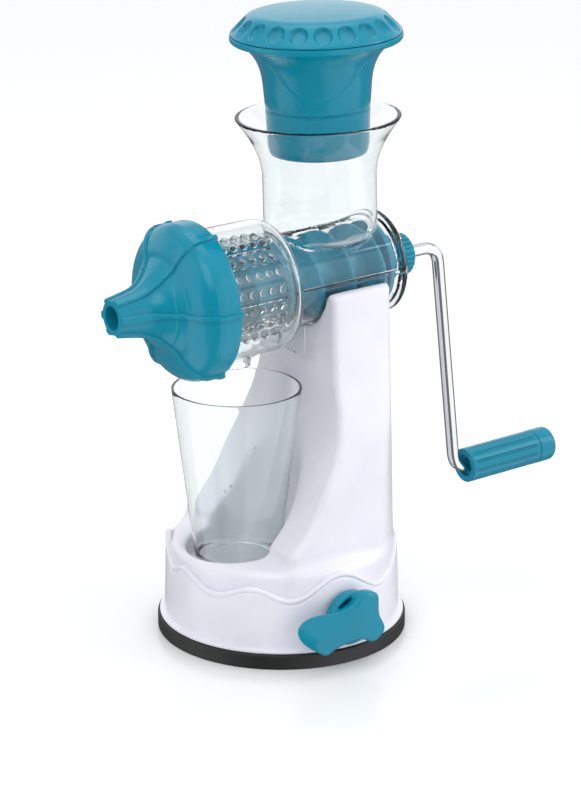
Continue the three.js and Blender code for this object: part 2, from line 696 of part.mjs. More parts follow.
function footPrism(outline, middle, width) {
  const shape = new THREE.Shape(outline.map(([x, z]) => new THREE.Vector2(x, z)));
  const prism = new THREE.ExtrudeGeometry(shape, { depth: width, bevelEnabled: false });
  return solid(prism.rotateX(Math.PI / 2).translate(0, middle + width / 2, 0));
}

// Foot in the column's slot, with two gusset fins in front of the column.
function bodyFoot() {
  const top = -BARREL_RADIUS + 4;
  const foot = [[FOOT_FRONT, top], [FOOT_FRONT, -FOOT_DEPTH], [FOOT_REAR, -FOOT_DEPTH], [FOOT_REAR, top]];
  const front = HOUSING_REAR - 1;
  const end = COLUMN_FRONT - FIN_CLEARANCE;
  const fin = [
    [front, top],
    [front, -HOUSING_RADIUS + 4],
    [HOUSING_REAR + 6.5, -HOUSING_RADIUS - 1],
    [end, -FOOT_DEPTH - FIN_DROP],
    [end, top],
  ];
  return join(
    footPrism(foot, 0, 2 * FOOT_HALF_WIDTH),
    footPrism(fin, -FIN_OFFSET, FIN_THICKNESS),
    footPrism(fin, FIN_OFFSET, FIN_THICKNESS),
  );
}

// The foot is open underneath.
function footHollow() {
  const wall = CLEAR_WALL;
  return solid(
    block(
      [FOOT_FRONT + wall, FOOT_REAR - wall],
      [wall - FOOT_HALF_WIDTH, FOOT_HALF_WIDTH - wall],
      [-FOOT_DEPTH - 1, -BARREL_RADIUS - 1.5],
    ),
  );
}

function makeJuicerBody() {
  const barrel = solid(bar(BARREL_RADIUS, HOUSING_REAR - 1, BARREL_END - 1, "x", 32));
  const rear = solid(bar(REAR_FLANGE_RADIUS, BARREL_END - REAR_WALL, BARREL_END, "x", 32));
  const reach = BARREL_RADIUS + LEDGE_REACH;
  const ledge = solid(
    block([HOUSING_REAR - 1, BARREL_END - 2], [-reach, reach], [-LEDGE_THICKNESS / 2, LEDGE_THICKNESS / 2]),
  );
  const outside = join(
    housingShell(0), barrel, rear, ledge, hopperShell(0), bodyFlange(), stopBead(), spoutSolids(0), bodyFoot(),
  );
  const bore = solid(bar(BARREL_BORE, HOUSING_REAR - 10, BARREL_END - REAR_WALL, "x", 32));
  const neckHole = solid(bar(NECK_RADIUS + 0.4, 0, BARREL_END + 1, "x", 20));
  const throat = solid(bar(THROAT_RADIUS, 0, HOPPER_FLOOR + 10, "z", 20).translate(HOPPER_CENTRE, 0, 0));
  const inside = join(
    housingShell(CLEAR_WALL), bore, neckHole, hopperShell(CLEAR_WALL), throat, spoutSolids(CLEAR_WALL), footHollow(),
  );
  return outside.subtract(inside);
}

// ---- head: strainer, auger, cap -------------------------------------------

function makeStrainer() {
  const front = HOUSING_FRONT + 1.5;
  const rear = HOUSING_REAR - CLEAR_WALL - GAP;
  const wall = [[front, STRAINER_BORE], [front, STRAINER_RADIUS], [rear, STRAINER_RADIUS], [rear, STRAINER_BORE]];
  const tube = solid(turnedAlong([...wall, wall[0]], 32));
  const slots = Array.from({ length: STRAINER_ROWS }, (_, i) => {
    const slot = block(
      [front + 5, rear - 6],
      [-STRAINER_SLOT / 2, STRAINER_SLOT / 2],
      [STRAINER_BORE - 2, STRAINER_RADIUS + 2],
    );
    return solid(slot.rotateX((2 * Math.PI * (i + 0.5)) / STRAINER_ROWS));
  });
  return tube.subtract(join(...slots));
}

// Screw surface: core that thickens towards the nozzle, flight that winds round it.
function augerRadius(x, angle, front, rear) {
  const share = THREE.MathUtils.clamp((rear - x) / (rear - front), 0, 1);
  const core = AUGER_CORE + 6 * share;
  const inHousing = THREE.MathUtils.smoothstep(-x, -HOUSING_REAR + 1, -HOUSING_REAR + 7);
  const tip = THREE.MathUtils.lerp(BARREL_BORE, STRAINER_BORE, inHousing) - AUGER_CLEARANCE;
  const phase = angle / (2 * Math.PI) - x / AUGER_PITCH;
  const height = Math.max(0, 1 - 3.4 * Math.abs(phase - Math.round(phase)));
  return THREE.MathUtils.lerp(core, tip, Math.min(1, 1.8 * height));
}

function augerScrew() {
  const front = HOUSING_FRONT + 4;
  const rear = DISC_REAR - DISC_THICKNESS + 1;
  const sides = 16;
  const steps = 32;
  const rings = Array.from({ length: steps + 1 }, (_, k) => {
    const x = front + ((rear - front) * k) / steps;
    return Array.from({ length: sides }, (__, i) => {
      const angle = (2 * Math.PI * i) / sides;
      const radius = augerRadius(x, angle, front, rear);
      return [x, radius * Math.cos(angle), radius * Math.sin(angle)];
    });
  });
  return solid(loft(rings));
}

function makeAuger() {
  const front = HOUSING_FRONT + 4;
  const rearDisc = DISC_REAR - DISC_THICKNESS;
  const shaft = [
    [front - 19, 0],
    [front - 17, 6],
    [front - 1, AUGER_CORE + 4],
    [front + 1, AUGER_CORE + 4],
    [rearDisc - 1, AUGER_CORE - 2],
    [rearDisc - 1, BARREL_BORE - AUGER_CLEARANCE],
    [DISC_REAR, BARREL_BORE - AUGER_CLEARANCE],
    [DISC_REAR, NECK_RADIUS],
    [NECK_END, NECK_RADIUS],
    [NECK_END, 0],
  ];
  const socket = solid(bar(ROD_RADIUS + GAP, NECK_END - 26, NECK_END + 1, "x", 14));
  return join(solid(turnedAlong(shaft, 24)), augerScrew()).subtract(socket);
}

function makeAugerWasher() {
  const front = DISC_REAR + GAP;
  const rear = front + WASHER_THICKNESS;
  const inside = NECK_RADIUS + 0.4;
  const outer = NECK_RADIUS + WASHER_WIDTH;
  const ring = [[front, inside], [front, outer], [rear, outer], [rear, inside]];
  return solid(turnedAlong([...ring, ring[0]], 24));
}

// Seal between the clear body's front edge and the cap.
function makeCapSeal() {
  const rear = HOUSING_FRONT - GAP;
  const front = rear - 1.8;
  const outer = CAP_FLANGE_RADIUS - 0.4;
  const inner = outer - SEAL_WIDTH;
  const ring = [[front, inner], [front, outer], [rear, outer], [rear, inner]];
  return solid(turnedAlong([...ring, ring[0]], 36));
}

// Dome of the cap: share of the depth from its rim to the nozzle, share of the rim radius.
const DOME = [
  [0, 1], [0.112, 0.976], [0.227, 0.924], [0.335, 0.832], [0.42, 0.718],
  [0.466, 0.61], [0.588, 0.506], [0.752, 0.396], [0.95, 0.317], [1, 0.305],
];

function domeProfile(inset) {
  const rimFront = CAP_REAR - CAP_RIM_DEPTH;
  const nozzleRear = CAP_NOSE + NOZZLE_LENGTH;
  const depth = rimFront - nozzleRear;
  return DOME.map(([share, radius]) => {
    const x = rimFront - share * depth + inset * 0.8;
    return [x, radius * CAP_RADIUS - inset * 0.75];
  });
}

function capRib(turn) {
  const surface = domeProfile(0);
  const points = surface.slice(1).map(([x, radius]) => {
    const middle = radius - 0.6;
    return new THREE.Vector3(x, middle * Math.cos(turn), middle * Math.sin(turn));
  });
  return solid(swept(new THREE.CatmullRomCurve3(points), 1.8, 10, 5));
}

function capTab(turn) {
  const rimFront = CAP_REAR - CAP_RIM_DEPTH;
  const tab = block([rimFront - 2.5, rimFront + 2.5], [-6.5, 6.5], [CAP_RADIUS - 4, CAP_RADIUS + 2.2]);
  return solid(tab.rotateX(turn));
}

function makeFrontCap() {
  const nozzleRear = CAP_NOSE + NOZZLE_LENGTH;
  const shell = [
    [CAP_REAR, 0],
    [CAP_REAR, CAP_RADIUS],
    ...domeProfile(0),
    [nozzleRear - 3.5, NOZZLE_RADIUS + 1.4],
    [CAP_NOSE, NOZZLE_RADIUS - 1],
    [CAP_NOSE, 0],
  ];
  const seat = HOUSING_FRONT - 2.5;
  const hollow = [
    [CAP_REAR + 1, 0],
    [CAP_REAR + 1, CAP_FLANGE_RADIUS + 0.4],
    [seat, CAP_FLANGE_RADIUS + 0.4],
    [seat, CAP_FLANGE_RADIUS - 4.2],
    ...domeProfile(CAP_WALL).slice(3),
    [nozzleRear + 1, NOZZLE_BORE],
    [CAP_NOSE - 1, NOZZLE_BORE],
    [CAP_NOSE - 1, 0],
  ];
  const spacing = (2 * Math.PI) / CAP_RIBS;
  const turns = Array.from({ length: CAP_RIBS }, (_, i) => i * spacing + RIB_START);
  const ribs = turns.map((turn) => capRib(turn));
  const tabs = turns.map((turn) => capTab(turn - Math.PI / 2));
  const nozzleRibs = turns.map((turn) => {
    const rib = bar(2.4, CAP_NOSE, nozzleRear + 2, "x", 6);
    const reach = NOZZLE_RADIUS - 1.6;
    return solid(rib.translate(0, reach * Math.cos(turn), reach * Math.sin(turn)));
  });
  const lugs = Array.from({ length: CAP_LUGS }, (_, i) => {
    const front = HOUSING_FRONT + CAP_FLANGE_THICKNESS + GAP;
    const lug = block([front, CAP_REAR], [-5, 5], [HOUSING_RADIUS + 2.2, CAP_FLANGE_RADIUS + 1]);
    return solid(lug.rotateX((2 * Math.PI * i) / CAP_LUGS));
  });
  const outside = join(solid(turnedAlong(shell, 32)), ...ribs, ...tabs, ...nozzleRibs);
  return outside.subtract(solid(turnedAlong(hollow, 32))).add(join(...lugs));
}

// ---- pusher ----------------------------------------------------------------

function makePusherBody() {
  const lipBottom = PUSHER_LIP - 4.3;
  const neck = [
    [STEM_RADIUS + 1.4, PUSHER_LIP - 27],
    [STEM_RADIUS + 3, PUSHER_LIP - 20],
    [STEM_RADIUS + 6, PUSHER_LIP - 13.5],
    [STEM_RADIUS + 11.5, PUSHER_LIP - 7],
  ];
  const outside = [
    [0, STEM_BOTTOM],
    [STEM_RADIUS - 3, STEM_BOTTOM],
    [STEM_RADIUS - 1, STEM_BOTTOM + 2],
    [STEM_RADIUS, STEM_BOTTOM + 26],
    [STEM_RADIUS - 0.8, STEM_BOTTOM + 28],
    [STEM_RADIUS, STEM_BOTTOM + 30],
    ...neck,
    [PUSHER_LIP_RADIUS - 1, lipBottom],
    [PUSHER_LIP_RADIUS, lipBottom + 1.2],
    [PUSHER_LIP_RADIUS, PUSHER_LIP],
  ];
  const inside = [
    [PUSHER_LIP_RADIUS - 2.5, PUSHER_LIP],
    [PUSHER_LIP_RADIUS - 5, PUSHER_LIP - 3],
    ...neck.map(([radius, z]) => [radius - STEM_WALL, z + 0.5]).reverse(),
    [STEM_RADIUS - 3.2 - STEM_WALL, STEM_BOTTOM + STEM_WALL],
    [0, STEM_BOTTOM + STEM_WALL],
  ];
  return solid(turned([...outside, ...inside], 32).translate(HOPPER_CENTRE, 0, 0));
}

// Lid of the pusher: sloped band up to a slightly crowned plateau.
function makePusherLid() {
  const base = PUSHER_LIP + GAP;
  const profile = [
    [PUSHER_LIP_RADIUS - 4, base],
    [PUSHER_LIP_RADIUS - 0.4, base],
    [LID_PLATEAU + 1.5, base + LID_HEIGHT - 3.2],
    [LID_PLATEAU - 4, base + LID_HEIGHT - 1.6],
    [0, base + LID_HEIGHT],
    [0, base + LID_HEIGHT - STEM_WALL],
    [LID_PLATEAU - 4, base + LID_HEIGHT - 1.6 - STEM_WALL],
  ];
  return solid(turned([...profile, profile[0]], 32).translate(HOPPER_CENTRE, 0, 0));
}

// ---- crank -----------------------------------------------------------------

function makeCrankRod() {
  const start = NECK_END - 25.5;
  const corner = new THREE.Vector3(CRANK_X, 0, 0);
  const low = new THREE.Vector3(CRANK_X, 0, -CRANK_ARM);
  const end = new THREE.Vector3(CRANK_X + GRIP_LENGTH + 8, 0, -CRANK_ARM);
  const path = new THREE.CurvePath();
  const along = new THREE.Vector3(1, 0, 0);
  const down = new THREE.Vector3(0, 0, -1);
  const bendIn = corner.clone().addScaledVector(along, -ROD_BEND);
  const bendOut = corner.clone().addScaledVector(down, ROD_BEND);
  const lowIn = low.clone().addScaledVector(down, -ROD_BEND);
  const lowOut = low.clone().addScaledVector(along, ROD_BEND);
  path.add(new THREE.LineCurve3(new THREE.Vector3(start, 0, 0), bendIn));
  path.add(new THREE.QuadraticBezierCurve3(bendIn, corner, bendOut));
  path.add(new THREE.LineCurve3(bendOut, lowIn));
  path.add(new THREE.QuadraticBezierCurve3(lowIn, low, lowOut));
  path.add(new THREE.LineCurve3(lowOut, end));
  return solid(swept(path, ROD_RADIUS, 44, 8));
}

function makeCrankKnob() {
  const front = NECK_END + GAP;
  const rear = front + KNOB_LENGTH;
  const knurl = solid(fluted(KNOB_TEETH, KNOB_RADIUS - 1, KNOB_RADIUS, front, rear - 3));
  const end = [
    [rear - 4, 0],
    [rear - 4, KNOB_RADIUS - 0.9],
    [rear - 1.5, KNOB_RADIUS - 1.6],
    [rear, KNOB_RADIUS - 4],
    [rear, 0],
  ];
  const bore = solid(bar(ROD_RADIUS + GAP, front - 1, rear + 1, "x", 14));
  return join(knurl, solid(turnedAlong(end, 20))).subtract(bore);
}

const GRIP_START = CRANK_X + 8.5;

function makeGrip() {
  const body = solid(fluted(GRIP_FLUTES, GRIP_RADIUS - 1, GRIP_RADIUS, GRIP_START, GRIP_START + GRIP_LENGTH - GAP));
  const bore = solid(bar(ROD_RADIUS + 0.5, GRIP_START - 1, GRIP_START + GRIP_LENGTH + 1, "x", 14));
  const mouth = solid(bar(ROD_RADIUS + 3.2, GRIP_START - 1, GRIP_START + 3, "x", 20));
  return body.subtract(bore).subtract(mouth);
}

// Closed cap of the grip; its socket leaves room for the retainer.
function makeGripCap() {
  const front = GRIP_START + GRIP_LENGTH;
  const rear = front + GRIP_CAP_LENGTH;
  const outside = [
    [front, 0],
    [front, GRIP_RADIUS],
    [rear - 3, GRIP_RADIUS],
    [rear - 0.8, GRIP_RADIUS - 1.6],
    [rear, GRIP_RADIUS - 4],
    [rear, 0],
  ];
  const socket = solid(bar(ROD_RADIUS + 3.2, front - 1, front + 7, "x", 20));
  return solid(turnedAlong(outside, 24)).subtract(socket);
}

// Push-on retainer on the rod's end, which keeps the grip from sliding off.
function makeGripRetainer() {
  const front = GRIP_START + GRIP_LENGTH + 0.6;
  const inside = ROD_RADIUS + GAP;
  const ring = [[front, inside], [front, ROD_RADIUS + 2.6], [front + 1.5, ROD_RADIUS + 2.6], [front + 1.5, inside]];
  return solid(turnedAlong([...ring, ring[0]], 20));
}

// ---- glass -----------------------------------------------------------------

function makeGlass() {
  const wall = GLASS_WALL;
  const profile = [
    [0, GLASS_FOOT],
    [GLASS_FOOT_RADIUS - 1, GLASS_FOOT],
    [GLASS_FOOT_RADIUS + 0.2, GLASS_FOOT + 1.5],
    [GLASS_RIM_RADIUS, GLASS_TOP],
    [GLASS_RIM_RADIUS - wall, GLASS_TOP],
    [glassRadius(GLASS_FOOT + GLASS_FLOOR) - wall, GLASS_FOOT + GLASS_FLOOR],
    [0, GLASS_FOOT + GLASS_FLOOR],
  ];
  return solid(turned(profile, 36).translate(GLASS_X, 0, 0));
}

// ---- assembly --------------------------------------------------------------

function piece(name, manifold, look) {
  const mesh = manifold.getMesh();
  const geometry = new THREE.BufferGeometry();
  geometry.setAttribute("position", new THREE.BufferAttribute(mesh.vertProperties, 3));
  geometry.setIndex(new THREE.BufferAttribute(mesh.triVerts, 1));
  geometry.computeVertexNormals();
  const node = new THREE.Mesh(geometry, new THREE.MeshStandardMaterial(COLOURS[look]));
  node.name = name;
  return node;
}

function buildBase() {
  const base = new THREE.Group();
  base.add(piece("stand", makeStand(), "white"));
  base.add(piece("suction_pad", makeSuctionPad(), "black"));
  base.add(piece("pressure_plate", makePressurePlate(), "grey"));
  screwPlaces().forEach((place, i) => base.add(piece(`plate_screw_${i + 1}`, makeScrew(place), "steel")));
  base.add(piece("pad_stud", makeStud(), "steel"));
  return base;
}

// The lever turns about a shaft along Y through the group's origin.
function buildLock() {
  const lock = new THREE.Group();
  lock.position.set(SHAFT_X, 0, SHAFT_HEIGHT);
  const clip = piece("shaft_clip", makeShaftClip(), "steel");
  clip.position.y = ECCENTRIC_RADIUS + 7.9;
  lock.add(piece("cam_shaft", makeCamShaft(), "steel"), clip, piece("lock_lever", makeLockLever(), "teal"));
  return lock;
}

function buildCrank() {
  const crank = new THREE.Group();
  crank.rotation.x = -CRANK_TURN;
  crank.add(piece("crank_rod", makeCrankRod(), "steel"));
  crank.add(piece("crank_knob", makeCrankKnob(), "teal"));
  const handle = new THREE.Group();
  handle.position.z = -CRANK_ARM;
  handle.add(piece("grip", makeGrip(), "teal"));
  handle.add(piece("grip_cap", makeGripCap(), "teal"));
  handle.add(piece("grip_retainer", makeGripRetainer(), "steel"));
  crank.add(handle);
  return crank;
}

function buildHead() {
  const head = new THREE.Group();
  head.position.z = AXIS_HEIGHT;
  head.rotation.y = -HEAD_TILT;
  head.add(piece("juicer_body", makeJuicerBody(), "clear"));
  head.add(piece("strainer", makeStrainer(), "clear"));
  head.add(piece("auger", makeAuger(), "teal"));
  head.add(piece("auger_washer", makeAugerWasher(), "white"));
  head.add(piece("cap_seal", makeCapSeal(), "white"));
  head.add(piece("front_cap", makeFrontCap(), "teal"));
  head.add(piece("pusher", makePusherBody(), "teal"));
  head.add(piece("pusher_lid", makePusherLid(), "teal"));
  head.add(buildCrank());
  return head;
}

const juicer = new THREE.Group();
juicer.add(buildBase(), buildLock(), buildHead());
juicer.add(piece("juice_glass", makeGlass(), "clear"));

export default juicer;
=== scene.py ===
import json
import math

import bpy
import numpy as np
from mathutils import Matrix, Vector


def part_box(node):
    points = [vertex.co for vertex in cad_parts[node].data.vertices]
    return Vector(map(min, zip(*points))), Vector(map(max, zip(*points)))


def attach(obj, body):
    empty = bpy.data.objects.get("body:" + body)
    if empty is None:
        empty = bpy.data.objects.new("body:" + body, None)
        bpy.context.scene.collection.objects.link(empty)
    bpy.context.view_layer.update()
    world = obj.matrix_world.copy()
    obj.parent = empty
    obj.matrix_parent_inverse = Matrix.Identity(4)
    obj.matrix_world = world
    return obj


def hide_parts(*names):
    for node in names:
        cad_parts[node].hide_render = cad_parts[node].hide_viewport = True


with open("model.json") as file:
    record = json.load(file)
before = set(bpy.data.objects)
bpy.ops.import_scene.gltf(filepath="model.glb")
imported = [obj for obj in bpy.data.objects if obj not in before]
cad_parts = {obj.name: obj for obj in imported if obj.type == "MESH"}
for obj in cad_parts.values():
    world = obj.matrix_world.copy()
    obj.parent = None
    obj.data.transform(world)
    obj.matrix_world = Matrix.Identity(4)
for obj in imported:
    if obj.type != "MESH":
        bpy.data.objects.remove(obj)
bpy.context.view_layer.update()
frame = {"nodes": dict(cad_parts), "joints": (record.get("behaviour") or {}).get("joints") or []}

bl_info = {
    "name": "Hand Juicer",
    "version": (1, 0, 0),
    "blender": (4, 5, 0),
    "location": "View3D > Sidebar > Juicer",
    "description": "Fine shapes and finishes for a hand-cranked juicer",
    "category": "Mesh",
}

MM = 0.001
ON_AXIS = 1e-7  # a radius below this is a pole
JOINTS = {joint["name"]: joint for joint in frame["joints"]}
BARREL_AXIS = Vector(JOINTS["crank_turn"]["axis"])
AXIS_HEIGHT = JOINTS["crank_turn"]["pos_m"][2]
TILT = math.atan2(BARREL_AXIS.z, BARREL_AXIS.x)
HEAD = Matrix.Translation((0, 0, AXIS_HEIGHT)) @ Matrix.Rotation(-TILT, 4, "Y")
SHAFT = Vector(JOINTS["lock_turn"]["pos_m"])
GRIP_POINT = HEAD.inverted() @ Vector(JOINTS["grip_spin"]["pos_m"])
CRANK_ARM = math.hypot(GRIP_POINT.y, GRIP_POINT.z)
CRANK_TURN = math.atan2(-GRIP_POINT.y, -GRIP_POINT.z)
CRANK = HEAD @ Matrix.Rotation(-CRANK_TURN, 4, "X")
GRIP = CRANK @ Matrix.Translation((0, 0, -CRANK_ARM))
PAD_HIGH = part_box("suction_pad")[1]
GLASS_LOW, GLASS_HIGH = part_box("juice_glass")
GLASS_X = (GLASS_LOW.x + GLASS_HIGH.x) / 2


# ---- sizes and colours a user would change --------------------------------

def length(name, description, default):
    return bpy.props.FloatProperty(
        name=name, description=description, default=default, min=0, unit="LENGTH", precision=4)


def colour(name, description, default):
    return bpy.props.FloatVectorProperty(
        name=name, description=description, default=default, min=0, max=1, size=3, subtype="COLOR")


class JuicerStandSizes(bpy.types.PropertyGroup):
    body_radius: length("Body radius", "Drum of the stand above the skirt", 71.6 * MM)
    top_radius: length("Top radius", "Back of the column at its top", 67.6 * MM)
    skirt_radius: length("Skirt radius", "Outside of the wavy skirt at its foot", 75.5 * MM)
    flange_radius: length("Flange radius", "Foot flange on the rubber pad", 78.6 * MM)
    body_top: length("Body top", "Height where the drum rounds over", 60 * MM)
    pocket_floor: length("Pocket floor", "Height the glass stands at", 49.5 * MM)
    wall: length("Wall", "Moulded wall of the stand", 3 * MM)


class JuicerHeadSizes(bpy.types.PropertyGroup):
    housing_radius: length("Housing radius", "Outside of the clear strainer housing", 41.5 * MM)
    housing_front: length("Housing front", "Front edge, forward of the base axis", 66.78 * MM)
    housing_rear: length("Housing rear", "Rear wall, forward of the base axis", 8.58 * MM)
    barrel_radius: length("Barrel radius", "Outside of the clear barrel", 30 * MM)
    barrel_end: length("Barrel end", "Rear face of the barrel", 74.6 * MM)
    wall: length("Clear wall", "Moulded wall of the clear body", 2.3 * MM)
    hopper_centre: length("Hopper centre", "Hopper axis behind the base axis", 31 * MM)
    hopper_radius: length("Hopper radius", "Outside of the hopper's tube", 35.6 * MM)
    hopper_rim: length("Hopper rim radius", "Outside of the flared rim", 52.3 * MM)
    hopper_height: length("Hopper height", "Rim above the barrel axis", 100.7 * MM)
    strainer_radius: length("Strainer radius", "Outside of the strainer sleeve", 31.8 * MM)
    cap_radius: length("Cap radius", "Rim of the front cap", 49.2 * MM)
    pusher_radius: length("Pusher radius", "Stem of the pusher", 32.6 * MM)
    lip_radius: length("Lip radius", "Lip of the pusher", 53.4 * MM)


class JuicerHandleSizes(bpy.types.PropertyGroup):
    rod_radius: length("Rod radius", "Bent steel rod of the crank", 4 * MM)
    rod_bend: length("Rod bend", "Length taken by each bend", 9 * MM)
    knob_radius: length("Knob radius", "Knurled knob on the rod", 13.9 * MM)
    grip_radius: length("Grip radius", "Fluted handle", 11.4 * MM)
    lever_depth: length("Lever depth", "Thickness of the lock lever", 9 * MM)


class JuicerColours(bpy.types.PropertyGroup):
    teal: colour("Teal", "Cap, pusher, auger, handle and lever", (0.0, 0.235, 0.35))
    white: colour("White", "Stand", (0.83, 0.82, 0.9))
    clear: colour("Clear", "Housing, hopper and strainer", (0.95, 0.975, 0.98))
    rubber: colour("Rubber", "Suction pad", (0.008, 0.008, 0.008))
    steel: colour("Steel", "Crank rod", (0.72, 0.72, 0.73))
    floor: colour("Floor", "Floor under the juicer", (0.9, 0.9, 0.9))


# ---- meshes ----------------------------------------------------------------

def build(name, points, faces, place, sharp=35):
    """A smooth-shaded object from points in metres, faces outwards, in the row frame."""
    mesh = bpy.data.meshes.new(name)
    mesh.from_pydata([tuple(p) for p in points], [], faces)
    mesh.transform(place)
    mesh.update()
    finish_mesh(mesh, sharp)
    thing = bpy.data.objects.new(name, mesh)
    bpy.context.scene.collection.objects.link(thing)
    return thing


def finish_mesh(mesh, sharp):
    if mesh_volume(mesh) < 0:
        mesh.flip_normals()
    mesh.polygons.foreach_set("use_smooth", [True] * len(mesh.polygons))
    mesh.set_sharp_from_angle(angle=math.radians(sharp))
    mesh.update()


def mesh_volume(mesh):
    mesh.calc_loop_triangles()
    places = np.empty(len(mesh.vertices) * 3)
    mesh.vertices.foreach_get("co", places)
    places = places.reshape(-1, 3)
    corners = np.empty(len(mesh.loop_triangles) * 3, int)
    mesh.loop_triangles.foreach_get("vertices", corners)
    a, b, c = places[corners.reshape(-1, 3)].transpose(1, 0, 2)
    return np.einsum("ij,ij->i", a, np.cross(b, c)).sum() / 6


def rounded(corners, steps=5):
    """Outline through (along, radius, setback) corners; a setback above 0 rounds its corner."""
    outline = []
    for i, (along, radius, setback) in enumerate(corners):
        corner = np.array((along, radius))
        if setback == 0 or i in (0, len(corners) - 1):
            outline.append(corner)
            continue
        before = np.array(corners[i - 1][:2]) - corner
        after = np.array(corners[i + 1][:2]) - corner
        start = corner + before * min(0.49, setback / np.linalg.norm(before))
        end = corner + after * min(0.49, setback / np.linalg.norm(after))
        for t in np.linspace(0, 1, steps):
            outline.append((1 - t) ** 2 * start + 2 * t * (1 - t) * corner + t * t * end)
    return outline


def dense(outline, step):
    """The outline with its long stretches divided, so that a pattern can be lifted from it."""
    points = [outline[0]]
    for a, b in zip(outline, outline[1:]):
        count = max(1, math.ceil(np.linalg.norm(b - a) / step))
        points.extend(a + (b - a) * k / count for k in range(1, count + 1))
    return np.array(points)


def loop(corners):
    """Closes a ring's corners at the middle of their first stretch."""
    first, second = np.array(corners[0][:2]), np.array(corners[1][:2])
    middle = (*((first + second) / 2), 0)
    return [middle, *corners[1:], corners[0], middle]


def clustered(count, start, near, fine, coarse):
    """Angles round a circle, packed within near radians of count evenly spaced places."""
    step = 2 * np.pi / count
    packed = np.linspace(-near, near, fine, endpoint=False)
    loose = np.linspace(near, step - near, coarse, endpoint=False)
    one = np.concatenate([packed, loose])
    return (np.arange(count)[:, None] * step + one + start).ravel()


def revolve(name, outline, sides, place, axis="x", lift=None, sharp=35):
    """Closed skin of an outline of (along, radius) points turned about an axis.
    sides is a number of even steps or the angles themselves, and
    lift(angle, along, radius) gives how far each point is raised off the surface."""
    if np.ndim(sides):
        angle, sides = sides, len(sides)
    else:
        angle = np.arange(sides) * 2 * np.pi / sides
    outline = np.array(outline, float)
    ring = np.allclose(outline[0], outline[-1])
    if ring:
        outline = outline[:-1]
    ahead = np.roll(outline, -1, 0)
    behind = np.roll(outline, 1, 0)
    if not ring:
        ahead[-1] = outline[-1]
        behind[0] = outline[0]
    tangent = ahead - behind
    tangent /= np.maximum(np.linalg.norm(tangent, axis=1, keepdims=True), 1e-9)
    area = np.sum(outline[:, 0] * ahead[:, 1] - ahead[:, 0] * outline[:, 1])
    normal = np.stack((tangent[:, 1], -tangent[:, 0]), 1) * (1 if area > 0 else -1)
    along = np.repeat(outline[:, :1], sides, 1)
    radius = np.repeat(outline[:, 1:], sides, 1)
    if lift is not None:
        raised = lift(angle[None, :], along, radius)
        ends = along.min(), along.max()
        along = np.clip(along + raised * normal[:, :1], *ends)
        radius = radius + raised * normal[:, 1:]
    across, up = radius * np.cos(angle), radius * np.sin(angle)
    layers = (along, across, up) if axis == "x" else (across, up, along)
    points = np.stack(layers, -1)
    poles = [] if ring else [k for k in (0, len(outline) - 1) if outline[k, 1] < ON_AXIS]
    rows = [k for k in range(len(outline)) if k not in poles]
    places = points[rows].reshape(-1, 3)
    places = np.concatenate([places] + [points[k, :1] for k in poles])
    base = {k: i * sides for i, k in enumerate(rows)}
    faces = []
    turns = len(outline) if ring else len(outline) - 1
    for k in range(turns):
        a, b = k, (k + 1) % len(outline)
        for i in range(sides):
            j = (i + 1) % sides
            if a in poles:
                faces.append((len(rows) * sides + poles.index(a), base[b] + i, base[b] + j))
            elif b in poles:
                faces.append((base[a] + j, base[a] + i, len(rows) * sides + poles.index(b)))
            else:
                faces.append((base[a] + i, base[b] + i, base[b] + j, base[a] + j))
    return build(name, places, [face[::-1] for face in faces], place, sharp)


def smooth_max(a, b, rounding):
    share = np.clip(0.5 + 0.5 * (a - b) / rounding, 0, 1)
    return b + (a - b) * share + rounding * share * (1 - share)


def smooth_min(a, b, rounding):
    return -smooth_max(-a, -b, rounding)


def eased(xs, ys, x):
    """Smooth curve through points, held flat outside them."""
    xs, ys = np.array(xs, float), np.array(ys, float)
    x = np.clip(x, xs[0], xs[-1])
    slopes = np.gradient(ys, xs)
    k = np.clip(np.searchsorted(xs, x, side="right") - 1, 0, len(xs) - 2)
    span = xs[k + 1] - xs[k]
    t = (x - xs[k]) / span
    rise = ys[k] * (2 * t**3 - 3 * t**2 + 1) + ys[k + 1] * (3 * t**2 - 2 * t**3)
    return rise + span * (slopes[k] * (t**3 - 2 * t**2 + t) + slopes[k + 1] * (t**3 - t**2))


